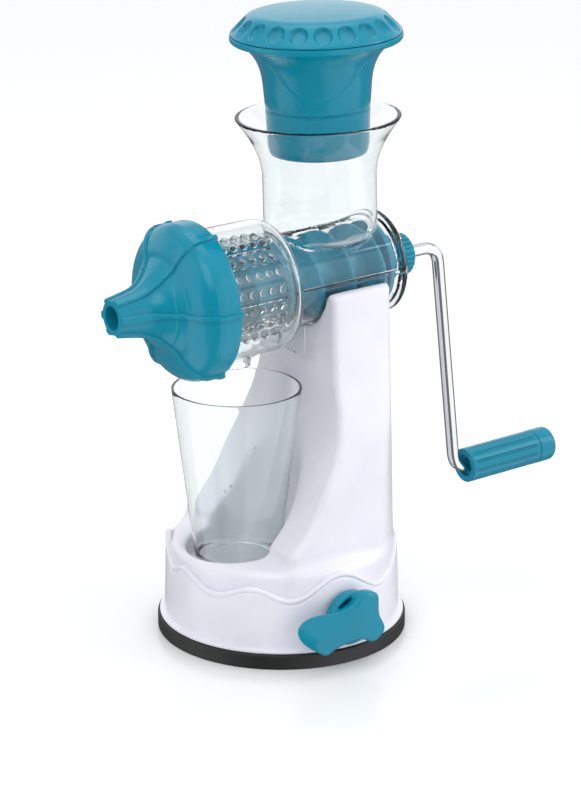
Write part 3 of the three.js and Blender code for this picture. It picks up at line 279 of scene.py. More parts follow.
def skin(name, field, low, high, cell, place, sharp=60):
    """Closed mesh where a field, negative inside the solid, is zero.
    One point is put in each cell that the surface crosses, then moved onto the surface."""
    axes = [np.arange(low[i], high[i] + cell, cell) for i in range(3)]
    shape = tuple(len(a) for a in axes)
    grid = np.meshgrid(*axes, indexing="ij", sparse=True)
    values = np.broadcast_to(field(*grid), shape).astype(np.float32)
    cells = tuple(n - 1 for n in shape)
    total = np.zeros(cells + (3,), np.float32)
    count = np.zeros(cells, np.float32)
    crossings = []
    for axis in range(3):
        near = [slice(None)] * 3
        far = [slice(None)] * 3
        near[axis], far[axis] = slice(0, -1), slice(1, None)
        a, b = values[tuple(near)], values[tuple(far)]
        change = (a < 0) != (b < 0)
        share = np.where(change, a / np.where(change, a - b, 1), 0)
        crossings.append((axis, change, a < 0))
        others = [i for i in range(3) if i != axis]
        for du in (0, 1):
            for dv in (0, 1):
                part = [slice(None)] * 3
                part[others[0]] = slice(du, cells[others[0]] + du)
                part[others[1]] = slice(dv, cells[others[1]] + dv)
                hit = change[tuple(part)]
                count += hit
                total[..., axis] += share[tuple(part)] * hit
                total[..., others[0]] += du * hit
                total[..., others[1]] += dv * hit
    active = np.argwhere(count > 0)
    index = np.full(cells, -1, np.int64)
    index[tuple(active.T)] = np.arange(len(active))
    offset = total[tuple(active.T)] / count[tuple(active.T)][:, None]
    points = (np.array([a[0] for a in axes]) + (active + offset) * cell).astype(float)
    faces = []
    for axis, change, inside in crossings:
        others = [i for i in range(3) if i != axis]
        spots = np.argwhere(change)
        limits = [(spots[:, o] > 0) & (spots[:, o] < cells[o]) for o in others]
        spots = spots[limits[0] & limits[1]]
        corners = []
        for du, dv in ((1, 1), (0, 1), (0, 0), (1, 0)):
            cell_at = spots.copy()
            cell_at[:, others[0]] -= du
            cell_at[:, others[1]] -= dv
            corners.append(index[tuple(cell_at.T)])
        quads = np.stack(corners, 1)
        flip = inside[tuple(spots.T)] == (axis != 1)
        quads[~flip] = quads[~flip][:, ::-1]
        faces.append(quads[:, ::-1])
    points = settle(points, field, cell)
    return build(name, points, np.concatenate(faces).tolist(), place, sharp)


def settle(points, field, cell):
    """Moves points along the field's slope onto its zero level."""
    reach = cell * 0.02
    for _ in range(4):
        x, y, z = points.T
        value = field(x, y, z)
        slope = np.stack([
            (field(x + reach, y, z) - field(x - reach, y, z)) / (2 * reach),
            (field(x, y + reach, z) - field(x, y - reach, z)) / (2 * reach),
            (field(x, y, z + reach) - field(x, y, z - reach)) / (2 * reach),
        ], 1)
        steep = np.maximum(np.sum(slope**2, 1), 0.2)
        move = -(value / steep)[:, None] * slope
        size = np.linalg.norm(move, axis=1, keepdims=True)
        points = points + move * np.minimum(1, 0.5 * cell / np.maximum(size, 1e-12))
    return points


def tube(name, path, radius, sides, place):
    """Round bar through path points, with rounded ends."""
    path = np.array(path, float)
    tangent = np.gradient(path, axis=0)
    tangent /= np.linalg.norm(tangent, axis=1, keepdims=True)
    side = np.array((0.0, 1.0, 0.0))
    points = []
    edge = 0.25 * radius
    stations = [(0, -edge, radius - edge)]
    stations += [(k, 0, radius) for k in range(len(path))]
    stations += [(len(path) - 1, edge, radius - edge)]
    for k, shift, size in stations:
        up = np.cross(tangent[k], side)
        up /= np.linalg.norm(up)
        middle = path[k] + tangent[k] * shift
        for i in range(sides):
            turn = 2 * math.pi * i / sides
            points.append(middle + size * (math.cos(turn) * side + math.sin(turn) * up))
    faces = []
    for k in range(len(stations) - 1):
        for i in range(sides):
            j = (i + 1) % sides
            faces.append((k * sides + i, k * sides + j, (k + 1) * sides + j, (k + 1) * sides + i))
    last = (len(stations) - 1) * sides
    faces.append(tuple(range(sides))[::-1])
    faces.append(tuple(last + i for i in range(sides)))
    return build(name, points, faces, place, 50)


def ride(piece, body, slot, material, *nodes):
    piece.data.materials.clear()
    piece.data.materials.append(material)
    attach(piece, body)
    if nodes:
        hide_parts(*nodes)


def repeat_round(name, copied, count, axis, material):
    """Geometry Nodes: copies of a piece turned about an axis through the origin."""
    tree = bpy.data.node_groups.new(name, "GeometryNodeTree")
    face = tree.interface
    face.new_socket("Piece", in_out="INPUT", socket_type="NodeSocketObject")
    face.new_socket("Count", in_out="INPUT", socket_type="NodeSocketInt")
    face.new_socket("Axis", in_out="INPUT", socket_type="NodeSocketVector")
    face.new_socket("Finish", in_out="INPUT", socket_type="NodeSocketMaterial")
    face.new_socket("Geometry", in_out="OUTPUT", socket_type="NodeSocketGeometry")
    given = tree.nodes.new("NodeGroupInput")
    result = tree.nodes.new("NodeGroupOutput")
    spots = tree.nodes.new("GeometryNodePoints")
    info = tree.nodes.new("GeometryNodeObjectInfo")
    number = tree.nodes.new("GeometryNodeInputIndex")
    share = tree.nodes.new("ShaderNodeMath")
    share.operation = "DIVIDE"
    turn = tree.nodes.new("ShaderNodeMath")
    turn.operation = "MULTIPLY"
    turn.inputs[1].default_value = 2 * math.pi
    rotation = tree.nodes.new("FunctionNodeAxisAngleToRotation")
    copies = tree.nodes.new("GeometryNodeInstanceOnPoints")
    solid = tree.nodes.new("GeometryNodeRealizeInstances")
    finish = tree.nodes.new("GeometryNodeSetMaterial")
    link = tree.links.new
    link(given.outputs["Count"], spots.inputs["Count"])
    link(given.outputs["Piece"], info.inputs["Object"])
    link(number.outputs[0], share.inputs[0])
    link(given.outputs["Count"], share.inputs[1])
    link(share.outputs[0], turn.inputs[0])
    link(given.outputs["Axis"], rotation.inputs["Axis"])
    link(turn.outputs[0], rotation.inputs["Angle"])
    link(spots.outputs[0], copies.inputs["Points"])
    link(info.outputs["Geometry"], copies.inputs["Instance"])
    link(rotation.outputs[0], copies.inputs["Rotation"])
    link(copies.outputs[0], solid.inputs[0])
    link(solid.outputs[0], finish.inputs["Geometry"])
    link(given.outputs["Finish"], finish.inputs["Material"])
    link(finish.outputs[0], result.inputs[0])
    values = {"Piece": copied, "Count": count, "Axis": axis, "Finish": material}
    return applied_tree(name, tree, values)


def applied_tree(name, tree, values):
    """Runs a node tree on an empty mesh and returns its result as a plain mesh object."""
    holder = bpy.data.objects.new(name + "_maker", bpy.data.meshes.new(name + "_maker"))
    bpy.context.scene.collection.objects.link(holder)
    modifier = holder.modifiers.new(name, "NODES")
    modifier.node_group = tree
    for item in tree.interface.items_tree:
        if item.in_out == "INPUT":
            modifier[item.identifier] = values[item.name]
    graph = bpy.context.evaluated_depsgraph_get()
    mesh = bpy.data.meshes.new_from_object(holder.evaluated_get(graph))
    bpy.data.objects.remove(holder)
    mesh.name = name
    thing = bpy.data.objects.new(name, mesh)
    bpy.context.scene.collection.objects.link(thing)
    return thing


def join_into(target, *others):
    """Adds other objects' meshes to a target object and removes those objects."""
    with bpy.context.temp_override(
        active_object=target, object=target,
        selected_objects=[target, *others], selected_editable_objects=[target, *others],
    ):
        bpy.ops.object.join()
    return target


# ---- finishes ---------------------------------------------------------------

class Value:
    """A number or vector socket of a material, used in plain expressions."""

    def __init__(self, recipe, socket):
        self.recipe = recipe
        self.socket = socket

    def math(self, operation, *others):
        sockets = {i: value for i, value in enumerate(others)}
        return self.recipe.node("ShaderNodeMath", {"operation": operation}, sockets)

    def __add__(self, other):
        return self.math("ADD", self, other)

    def __sub__(self, other):
        return self.math("SUBTRACT", self, other)

    def __rsub__(self, other):
        return self.math("SUBTRACT", other, self)

    def __mul__(self, other):
        return self.math("MULTIPLY", self, other)

    __radd__ = __add__

    def between(self, low, high):
        """0 below low, 1 above high, smooth in between."""
        return self.recipe.node(
            "ShaderNodeMapRange", {"interpolation_type": "SMOOTHSTEP"},
            {"Value": self, "From Min": low, "From Max": high})


class Finish:
    """Shader nodes of a new material, or of a world, and their links."""

    def __init__(self, name, holder=None):
        self.holder = holder or bpy.data.materials.new(name)
        self.holder.use_nodes = True
        self.tree = self.holder.node_tree
        self.tree.nodes.clear()

    def node(self, kind, settings=None, sockets=None, output=0):
        made = self.tree.nodes.new(kind)
        for key, value in (settings or {}).items():
            setattr(made, key, value)
        for key, value in (sockets or {}).items():
            if isinstance(value, Value):
                self.tree.links.new(value.socket, made.inputs[key])
            else:
                made.inputs[key].default_value = value
        return Value(self, made.outputs[output])

    def place(self):
        return self.node("ShaderNodeTexCoord", output=3)

    def noise(self, scale, detail=2, stretch=None):
        place = self.place()
        if stretch is not None:
            place = self.node("ShaderNodeMapping", None, {"Vector": place, "Scale": stretch})
        return self.node("ShaderNodeTexNoise", None, {"Vector": place, "Scale": scale, "Detail": detail})

    def mix(self, share, one, other):
        mixed = self.node("ShaderNodeMix", {"data_type": "RGBA"}, {0: share}, 2)
        mixer = mixed.socket.node
        for key, tone in ((6, one), (7, other)):
            if isinstance(tone, Value):
                self.tree.links.new(tone.socket, mixer.inputs[key])
            else:
                mixer.inputs[key].default_value = (*tone, 1)
        return mixed

    def bump(self, height, distance, strength=1.0):
        return self.node("ShaderNodeBump", None, {
            "Height": height, "Distance": distance, "Strength": strength,
        })

    def surface(self, shader, kind="ShaderNodeOutputMaterial"):
        output = self.tree.nodes.new(kind)
        self.tree.links.new(shader.socket, output.inputs["Surface"])
        return self.holder


def shade(base, factor):
    return tuple(min(1.0, channel * factor) for channel in base)


def moulded_plastic(name, base, gloss, grain, glow=0.0, ior=1.48):
    """Moulded plastic: slow drift of colour, uneven gloss and a faint skin texture."""
    finish = Finish(name)
    drift = finish.noise(14, 3)
    fine = finish.noise(900, 2)
    smear = finish.noise(55, 4)
    tone = finish.mix(drift.between(0.3, 0.7), shade(base, 0.93), shade(base, 1.06))
    roughness = gloss + (smear - 0.5) * 0.1 + (fine - 0.5) * 0.06
    height = fine * grain + smear * (grain * 2)
    return finish.surface(finish.node("ShaderNodeBsdfPrincipled", None, {
        "Base Color": tone, "Roughness": roughness, "IOR": ior,
        "Normal": finish.bump(height, 1.0, 0.35),
        "Subsurface Weight": glow, "Subsurface Scale": 0.004,
    }))


def see_through(name, tint, roughness, ior, ripple):
    """Clear moulding or glass, which lets lamps through to what is behind it."""
    finish = Finish(name)
    flow = finish.noise(38, 2, (1, 1, 0.35))
    haze = finish.noise(160, 3)
    clear = finish.node("ShaderNodeBsdfPrincipled", None, {
        "Base Color": (*tint, 1), "Roughness": roughness + (haze - 0.5) * (roughness * 0.8),
        "IOR": ior, "Transmission Weight": 1.0,
        "Normal": finish.bump(flow, ripple, 0.4),
    })
    passing = finish.node("ShaderNodeBsdfTransparent", None, {"Color": (*shade(tint, 0.97), 1)})
    shadow = finish.node("ShaderNodeLightPath", None, None, 1)
    return finish.surface(finish.node("ShaderNodeMixShader", None, {0: shadow, 1: clear, 2: passing}))


def rubber(name, base):
    finish = Finish(name)
    grain = finish.noise(700, 3)
    dust = finish.noise(30, 4)
    tone = finish.mix(dust.between(0.45, 0.8), base, shade(base, 2.2))
    return finish.surface(finish.node("ShaderNodeBsdfPrincipled", None, {
        "Base Color": tone, "Roughness": 0.55 + (dust - 0.5) * 0.25,
        "Normal": finish.bump(grain, 0.0002, 0.5),
    }))


def polished_steel(name, base, roughness):
    """Drawn and polished rod: fine lines along it that only show in the gloss."""
    finish = Finish(name)
    lines = finish.noise(240, 3, (0.04, 1, 0.04))
    cloud = finish.noise(40, 3)
    tone = finish.mix(cloud, shade(base, 0.94), shade(base, 1.04))
    return finish.surface(finish.node("ShaderNodeBsdfPrincipled", None, {
        "Base Color": tone, "Metallic": 1.0, "Roughness": roughness + (lines - 0.5) * 0.08,
        "Normal": finish.bump(lines, 0.00003, 0.3),
    }))


MATERIALS = {}


def make_finishes(colours):
    teal, white = tuple(colours.teal), tuple(colours.white)
    clear, steel = tuple(colours.clear), tuple(colours.steel)
    MATERIALS.update({
        "teal": moulded_plastic("teal_moulding", teal, 0.22, 0.00004, ior=1.38),
        "white": moulded_plastic("lilac_white_moulding", white, 0.24, 0.00004, 0.1),
        "clear": see_through("clear_moulding", clear, 0.03, 1.42, 0.0003),
        "glass": see_through("drinking_glass", (0.96, 0.985, 0.98), 0.012, 1.46, 0.0001),
        "rubber": rubber("black_rubber", tuple(colours.rubber)),
        "rod": polished_steel("polished_rod", steel, 0.12),
        "steel": polished_steel("plain_steel", shade(steel, 0.85), 0.34),
        "grey": moulded_plastic("grey_moulding", (0.34, 0.35, 0.37), 0.5, 0.00008),
        "silicone": moulded_plastic("silicone", (0.7, 0.72, 0.72), 0.55, 0.00005, 0.2),
        "nylon": moulded_plastic("nylon", (0.75, 0.75, 0.72), 0.45, 0.00005, 0.1),
    })


# ---- stand -------------------------------------------------------------------

# Column outline from the foot up: share of its height, front edge behind the
# glass axis, half width as a share of the body radius.
COLUMN_SHARE = (0.06, 0.17, 0.3, 0.41, 0.53, 0.67, 1.0)
COLUMN_FRONT = (0.0, 16.3, 28.3, 37.8, 43.9, 45.8, 47.3)
COLUMN_WIDTH = (0.87, 0.85, 0.84, 0.805, 0.725, 0.63, 0.567)
COLUMN_DROP = 4.9 * MM  # column top below the barrel axis
SADDLE_GAP = 0.5 * MM
POCKET_GAP = 4.5 * MM
FOOT_HALF = 12.5 * MM
FOOT_DEPTH = 46 * MM
FOOT_FRONT = GLASS_X + 51 * MM
FOOT_INSET = 8.5 * MM  # rear of the foot from the back of the column
FOOT_SLACK = 0.4 * MM  # gap round the foot in its slot
FIN_OFFSET = 9.8 * MM
FIN_THICKNESS = 2.4 * MM
FLANGE_LEVEL = 9.9 * MM


def column_field(sizes, x, y, z):
    top = AXIS_HEIGHT - COLUMN_DROP
    share = (z - sizes.body_top) / (top - sizes.body_top)
    nose = GLASS_X + eased(COLUMN_SHARE, COLUMN_FRONT, share) * MM
    radius = sizes.body_radius + (sizes.top_radius - sizes.body_radius) * np.clip(share, 0, 1)
    half = eased(COLUMN_SHARE, COLUMN_WIDTH, share) * radius
    sides = smooth_max((nose - x) * 0.85, np.abs(y) - half, 4.5 * MM)
    return smooth_max(sides, np.hypot(x, y) - radius, 3.5 * MM)


def drum_field(sizes, x, y, z):
    radius = np.hypot(x, y)
    inward = np.clip((sizes.body_radius - radius) / (38 * MM), 0, 1)
    top = sizes.body_top + 6 * MM * inward
    return smooth_max(radius - sizes.body_radius, z - top, 5 * MM)


def pocket_field(sizes, x, y, z):
    low, high = GLASS_LOW.z, GLASS_HIGH.z
    foot, rim = 27 * MM, (GLASS_HIGH.x - GLASS_LOW.x) / 2
    radius = foot + (rim - foot) * (z - low) / (high - low) + POCKET_GAP
    return smooth_max(np.hypot(x - GLASS_X, y) - radius, sizes.pocket_floor - z, 3 * MM)


def in_head(x, z):
    """Row-frame x and z as distances along and above the barrel axis."""
    cosine, sine = math.cos(TILT), math.sin(TILT)
    up = z - AXIS_HEIGHT
    return cosine * x + sine * up, -sine * x + cosine * up


def cradle_field(sizes, head, x, y, z):
    along, above = in_head(x, z)
    trough = np.hypot(y, above) - head.barrel_radius - SADDLE_GAP
    trough = np.maximum(trough, -along - head.housing_front)
    rear = sizes.top_radius - 8 * MM
    slot = np.maximum(along - rear, FOOT_FRONT - FOOT_SLACK - along)
    slot = np.maximum(slot, np.abs(y) - FOOT_HALF - FOOT_SLACK)
    slot = np.maximum(slot, np.maximum(-above - FOOT_DEPTH - FOOT_SLACK, above))
    return smooth_min(trough, slot, 1.5 * MM)


def stand_field(sizes, head):
    def field(x, y, z):
        outside = smooth_min(column_field(sizes, x, y, z), drum_field(sizes, x, y, z), 6 * MM)
        pocket = pocket_field(sizes, x, y, z)
        cradle = cradle_field(sizes, head, x, y, z)
        above = in_head(x, z)[1] + COLUMN_DROP
        solid = smooth_max(outside, -pocket, 4 * MM)
        solid = smooth_max(solid, above, 3.5 * MM)
        solid = smooth_max(solid, -cradle, 2 * MM)
        solid = np.maximum(solid, FLANGE_LEVEL - z)
        wall = sizes.wall
        hollow = np.maximum(outside + wall, wall - pocket)
        hollow = np.maximum(hollow, np.maximum(wall - cradle, above + wall))
        hole = np.hypot(x - SHAFT.x, z - SHAFT.z) - 11 * MM
        hole = np.maximum(hole, y + 36 * MM)
        return np.maximum(solid, -np.minimum(hollow, hole))
    return field


class JUICER_OT_stand(bpy.types.Operator):
    """Make the stand's moulding: drum, column, glass pocket and cradle"""
    bl_idname = "juicer.stand"
    bl_label = "Stand"

    def execute(self, context):
        sizes, head = context.scene.juicer_stand, context.scene.juicer_head
        reach = sizes.body_radius + 3 * MM
        low = (-reach, -reach, FLANGE_LEVEL - 3 * MM)
        high = (reach, reach, AXIS_HEIGHT + 3 * MM)
        stand = skin("stand_moulding", stand_field(sizes, head), low, high, 1.6 * MM, Matrix.Identity(4))
        ride(stand, "base", "stand_plastic", MATERIALS["white"], "stand")
        return {"FINISHED"}


# Top edge of the skirt: angle about the base axis in degrees, height.
WAVE_ANGLE = (-215, -194, -182, -160, -139, -120, -95, -67, -35, -8, 20, 50, 80, 112)
WAVE_HEIGHT = (62, 48.6, 53.5, 44.5, 51.5, 44.2, 58.8, 43.7, 60, 45, 57, 44.5, 56, 45)


def wave(angle):
    """Smooth closed curve through the skirt's crests and troughs."""
    turn = (np.degrees(angle) - WAVE_ANGLE[0]) % 360 + WAVE_ANGLE[0]
    angles = np.array((*WAVE_ANGLE, WAVE_ANGLE[0] + 360))
    heights = np.array((*WAVE_HEIGHT, WAVE_HEIGHT[0])) * MM
    k = np.clip(np.searchsorted(angles, turn, side="right") - 1, 0, len(angles) - 2)
    share = (turn - angles[k]) / (angles[k + 1] - angles[k])
    return heights[k] + (heights[k + 1] - heights[k]) * (1 - np.cos(np.pi * share)) / 2


class JUICER_OT_skirt(bpy.types.Operator):
    """Make the wavy skirt with its rounded bead and the foot flange"""
    bl_idname = "juicer.skirt"
    bl_label = "Skirt"

    def execute(self, context):
        sizes = context.scene.juicer_stand
        foot, inner = sizes.skirt_radius, sizes.body_radius - 1.5 * MM
        lip = sizes.flange_radius
        top = FLANGE_LEVEL + 2.1 * MM
        # height above the flange's underside, radius, setback; heights past crown follow the wave
        crown = 30 * MM
        corners = loop([
            (FLANGE_LEVEL, inner, 0),
            (FLANGE_LEVEL, lip, 0.5 * MM),
            (top, lip, 0.9 * MM),
            (top, foot + 0.6 * MM, 0.8 * MM),
            (top + 2 * MM, foot, 1 * MM),
            (crown - 4.4 * MM, foot - 1.2 * MM, 0.8 * MM),
            (crown - 3.7 * MM, foot - 1.9 * MM, 0.4 * MM),
            (crown - 3.0 * MM, foot - 1.9 * MM, 0.4 * MM),
            (crown - 2.3 * MM, foot - 0.9 * MM, 0.9 * MM),
            (crown, foot - 1.1 * MM, 1.1 * MM),
            (crown, inner + 0.8 * MM, 0.7 * MM),
            (crown - 3 * MM, inner, 0.5 * MM),
        ])
        outline = dense(rounded(corners, 6), 3 * MM)
        skirt = revolve("stand_skirt", outline, 360, Matrix.Identity(4), "z", sharp=50)
        start = top + 2 * MM
        for vertex in skirt.data.vertices:
            place = vertex.co
            share = min(1.0, max(0.0, (place.z - start) / (crown - 4.4 * MM - start)))
            place.z += share * (float(wave(math.atan2(place.y, place.x))) - crown)
        skirt.data.update()
        ride(skirt, "base", "stand_plastic", MATERIALS["white"])
        return {"FINISHED"}


class JUICER_OT_pad(bpy.types.Operator):
    """Make the rubber suction pad"""
    bl_idname = "juicer.pad"
    bl_label = "Suction pad"

    def execute(self, context):
        outside, height = PAD_HIGH.x, 9.6 * MM
        corners = [
            (0, 0, 0),
            (0, outside, 0.7 * MM),
            (height, outside, 1.2 * MM),
            (height, outside - 5.5 * MM, 0.8 * MM),
            (3.2 * MM, outside - 5.5 * MM, 1 * MM),
            (3.2 * MM, 11.5 * MM, 1 * MM),
            (10.5 * MM, 11.5 * MM, 0.8 * MM),
            (10.5 * MM, 4.1 * MM, 0.3 * MM),
            (8.3 * MM, 4.1 * MM, 0.2 * MM),
            (8.3 * MM, 8.6 * MM, 0.3 * MM),
            (2 * MM, 8.6 * MM, 0.3 * MM),
            (2 * MM, 0, 0),
        ]
        pad = revolve("rubber_pad", dense(rounded(corners), 4 * MM), 240, Matrix.Identity(4), "z")
        ride(pad, "base", "black_rubber", MATERIALS["rubber"], "suction_pad")
        return {"FINISHED"}


# Lever outline about its shaft, seen from the front, in millimetres.
LEVER_OUTLINE = (
    (-42.5, 0.5), (-40.5, 6), (-32, 8.5), (-16, 8), (-5, 11), (3, 17.5), (10, 17.5), (15.5, 13.5),
    (15.5, 2), (20.5, -9), (16.5, -15), (10, -16), (2, -12.5), (-11, -13), (-22, -17), (-28, -15.5),
    (-38.5, -7.5),
)

# Its flat front face, which the sides slope back from.
LEVER_FACE = (
    (-28.6, -14.2), (-32, -10.6), (-30.9, -5.5), (-24.1, -1.8), (-10.5, 2.2), (-1.3, 8.7), (3.2, 14.4),
    (11.2, 14), (13.3, 6.5), (17.6, -7.4), (15.1, -11.4), (11.3, -14), (1.9, -10.6), (-5, -10.4),
    (-15, -11.2), (-21, -12.8), (-24.8, -15),
)


def smooth_outline(points, steps):
    """Closed curve through the points."""
    points = np.array(points, float)
    curve = []
    for k in range(len(points)):
        before, a, b, after = (points[(k + i) % len(points)] for i in (-1, 0, 1, 2))
        for t in np.arange(steps) / steps:
            curve.append(0.5 * (
                2 * a + (b - before) * t + (2 * before - 5 * a + 4 * b - after) * t**2
                + (3 * a - before - 3 * b + after) * t**3))
    return np.array(curve)


def outline_distance(curve, x, z):
    """Distance to a closed outline, negative inside it."""
    nearest = np.full(np.broadcast(x, z).shape, np.inf)
    inside = np.zeros(nearest.shape, bool)
    for a, b in zip(curve, np.roll(curve, -1, 0)):
        along = b - a
        share = np.clip(((x - a[0]) * along[0] + (z - a[1]) * along[1]) / (along @ along), 0, 1)
        nearest = np.minimum(nearest, np.hypot(x - a[0] - share * along[0], z - a[1] - share * along[1]))
        crosses = (a[1] > z) != (b[1] > z)
        rise = np.where(b[1] == a[1], 1, b[1] - a[1])
        inside ^= crosses & (x < along[0] * (z - a[1]) / rise + a[0])
    return np.where(inside, -nearest, nearest)


class JUICER_OT_lever(bpy.types.Operator):
    """Make the lock lever on its round boss"""
    bl_idname = "juicer.lever"
    bl_label = "Lock lever"

    def execute(self, context):
        low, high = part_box("lock_lever")
        depth = context.scene.juicer_handles.lever_depth
        shaft = np.array((SHAFT.x, SHAFT.z))
        curve = smooth_outline(LEVER_OUTLINE, 5) * MM + shaft
        face = smooth_outline(LEVER_FACE, 4) * MM + shaft
        front, back = low.y, high.y

        def field(x, y, z):
            middle = front + depth / 2
            plate = outline_distance(curve, x, z)
            plate = smooth_max(plate, np.abs(y - middle) - depth / 2, 2.5 * MM)
            slope = front + 0.62 * np.maximum(outline_distance(face, x, z), 0) - y
            plate = smooth_max(plate, slope * 0.85, 1.2 * MM)
            round_off = np.hypot(x - SHAFT.x, z - SHAFT.z)
            boss = smooth_max(round_off - 17.5 * MM, y - back, 1 * MM)
            boss = smooth_max(boss, back - 6 * MM - y, 1.5 * MM)
            recess = np.maximum(round_off - 14 * MM, y - back + 2.6 * MM)
            recess = np.maximum(recess, 9 * MM - round_off)
            boss = smooth_max(boss, -recess, 1.2 * MM)
            solid = smooth_min(plate, boss, 1 * MM)
            bore = np.maximum(round_off - 4.3 * MM, -(y - (back - 9 * MM)))
            return np.maximum(solid, -bore)

        margin = Vector((2 * MM, 2 * MM, 2 * MM))
        lever = skin("lever", field, low - margin, high + margin, 0.7 * MM, Matrix.Identity(4))
        ride(lever, "lock", "teal_plastic", MATERIALS["teal"], "lock_lever")
        return {"FINISHED"}


# ---- clear body ---------------------------------------------------------------

SPOUT_DROP = 47.7 * MM
SPOUT_RADIUS = 10.7 * MM
TROUGH_DROP = 36.5 * MM
TROUGH_RADIUS = 9 * MM
HOPPER_FLOOR = 22 * MM
HOPPER_NECK = 65 * MM
SPOUT_X = GLASS_X - 3.7 * MM
CAP_REAR = -62.08 * MM


def hopper_radius(head, z):
    """Outside of the hopper at a height above the barrel axis: a tube that flares."""
    share = (z - HOPPER_NECK) / (head.hopper_height - HOPPER_NECK)
    flare = eased((0, 0.25, 0.6, 1), (0, 0.1, 0.42, 1), share)
    return head.hopper_radius + (head.hopper_rim - head.hopper_radius) * flare


def hopper_field(head, x, y, z, inset):
    slope = 1 + 0.28 * np.clip((z - HOPPER_NECK) / (20 * MM), 0, 1)
    wall = np.hypot(x - head.hopper_centre, y) - hopper_radius(head, z)
    cup = wall / slope + inset
    return smooth_max(cup, HOPPER_FLOOR + inset - z, (8 * MM - inset) * 1.2)


def housing_field(head, x, radius, inset):
    rear = x + head.housing_rear + inset
    return smooth_max(radius - head.housing_radius + inset, rear, 8 * MM - inset)


def spout_field(head, x, y, z, inset):
    spout = np.hypot(x - SPOUT_X, y) - SPOUT_RADIUS + inset
    spout = np.maximum(spout, np.maximum(z + head.housing_radius * 0.5, -SPOUT_DROP - inset * 0.4 - z))
    end = -head.housing_rear - 6 * MM - TROUGH_RADIUS * 1.4
    along = np.clip(x, SPOUT_X, end)
    trough = np.sqrt((x - along) ** 2 + y**2 + (z + TROUGH_DROP) ** 2) - TROUGH_RADIUS + inset
    return smooth_min(spout, trough, 1.5 * MM)


def foot_field(stand, head, x, y, z):
    """Foot in the column's slot, and two gusset fins in front of the column."""
    rear = stand.top_radius - FOOT_INSET
    foot = np.maximum(np.maximum(FOOT_FRONT - x, x - rear), np.maximum(-z - FOOT_DEPTH, z))
    foot = smooth_max(foot, np.abs(y) - FOOT_HALF, 1 * MM)
    low = np.maximum(-z - FOOT_DEPTH - 5 * MM, (-z - 42.5 * MM) * 0.81 - (x + 2 * MM) * 0.58)
    fin = np.maximum(np.abs(np.abs(y) - FIN_OFFSET) - FIN_THICKNESS / 2, low)
    fin = np.maximum(fin, np.maximum(x - FOOT_FRONT + 7.3 * MM, -x - head.housing_rear - 1 * MM))
    return np.minimum(foot, np.maximum(fin, z))


def clear_body_field(stand, head):
    wall = head.wall
    hold = 1.5 * MM

    def outside(x, y, z, radius):
        barrel = np.maximum(radius - head.barrel_radius, x - head.barrel_end + 1 * MM)
        barrel = np.maximum(barrel, -x - head.housing_rear - 1 * MM)
        rear = smooth_max(radius - 33 * MM, np.abs(x - head.barrel_end + 2 * MM) - 2 * MM, 1 * MM)
        ledge = np.maximum(np.abs(z) - 1 * MM, np.abs(y) - head.barrel_radius - 3.6 * MM)
        ledge = np.maximum(ledge, np.maximum(x - head.barrel_end + 2 * MM, -x - head.housing_rear - 1 * MM))
        flange = np.maximum(radius - 47.2 * MM, x + head.housing_front - 2.2 * MM)
        bead_middle = CAP_REAR + 1.15 * MM
        bead = smooth_max(radius - 45.5 * MM, np.abs(x - bead_middle) - 0.85 * MM, 0.8 * MM)
        solid = smooth_min(housing_field(head, x, radius, 0), barrel, hold)
        solid = np.minimum(smooth_min(solid, rear, hold), ledge)
        solid = smooth_min(solid, np.minimum(flange, bead), 0.6 * MM)
        solid = smooth_min(solid, spout_field(head, x, y, z, 0), 1.5 * MM)
        solid = smooth_min(solid, foot_field(stand, head, x, y, z), 1 * MM)
        hopper = smooth_max(hopper_field(head, x, y, z, 0), z - head.hopper_height, 1.5 * MM)
        return np.maximum(smooth_min(solid, hopper, 2 * MM), -x - head.housing_front)

    def inside(x, y, z, radius):
        bore = np.maximum(radius - head.barrel_radius + 2.4 * MM, x - head.barrel_end + 4 * MM)
        bore = np.maximum(bore, -x - head.housing_rear - 10 * MM)
        neck = np.maximum(radius - 8.6 * MM, -x)
        throat = np.hypot(x - head.hopper_centre, y) - 20 * MM
        throat = np.maximum(throat, np.maximum(z - HOPPER_FLOOR - 10 * MM, -z))
        low, high = FOOT_FRONT + wall, stand.top_radius - FOOT_INSET - wall
        middle, half = (low + high) / 2, (high - low) / 2
        hollow = np.maximum(np.abs(x - middle) - half, np.abs(y) - FOOT_HALF + wall)
        hollow = np.maximum(hollow, z + head.barrel_radius + 1.5 * MM)
        spaces = [
            housing_field(head, x, radius, wall), bore, neck, hopper_field(head, x, y, z, wall),
            throat, spout_field(head, x, y, z, wall), hollow,
        ]
        return np.minimum.reduce([np.broadcast_to(space, np.broadcast(x, y, z).shape) for space in spaces])

    def field(x, y, z):
        radius = np.hypot(y, z)
        return smooth_max(outside(x, y, z, radius), -inside(x, y, z, radius), 0.7 * MM)

    return field


class JUICER_OT_clear_body(bpy.types.Operator):
    """Make the clear housing, barrel, hopper, spout and foot as one moulding"""
    bl_idname = "juicer.clear_body"
    bl_label = "Clear body"

    def execute(self, context):
        stand, head = context.scene.juicer_stand, context.scene.juicer_head
        margin = 2.5 * MM
        side = head.hopper_rim + margin
        low = (-head.housing_front - margin, -side, -SPOUT_DROP - margin)
        high = (head.hopper_centre + side, side, head.hopper_height + margin)
        body = skin("clear_body", clear_body_field(stand, head), low, high, 1.25 * MM, HEAD, 50)
        ride(body, "base", "clear_plastic", MATERIALS["clear"], "juicer_body")
        return {"FINISHED"}


STRAINER_ROWS = 18
STRAINER_BUMPS = 6
STRAINER_PITCH = 7.3 * MM
BUMP_RADIUS = 2.5 * MM
STRAINER_WALL = 2.2 * MM
STRAINER_BAND = 5 * MM  # plain ring at the front end; the rear one is 1 mm longer


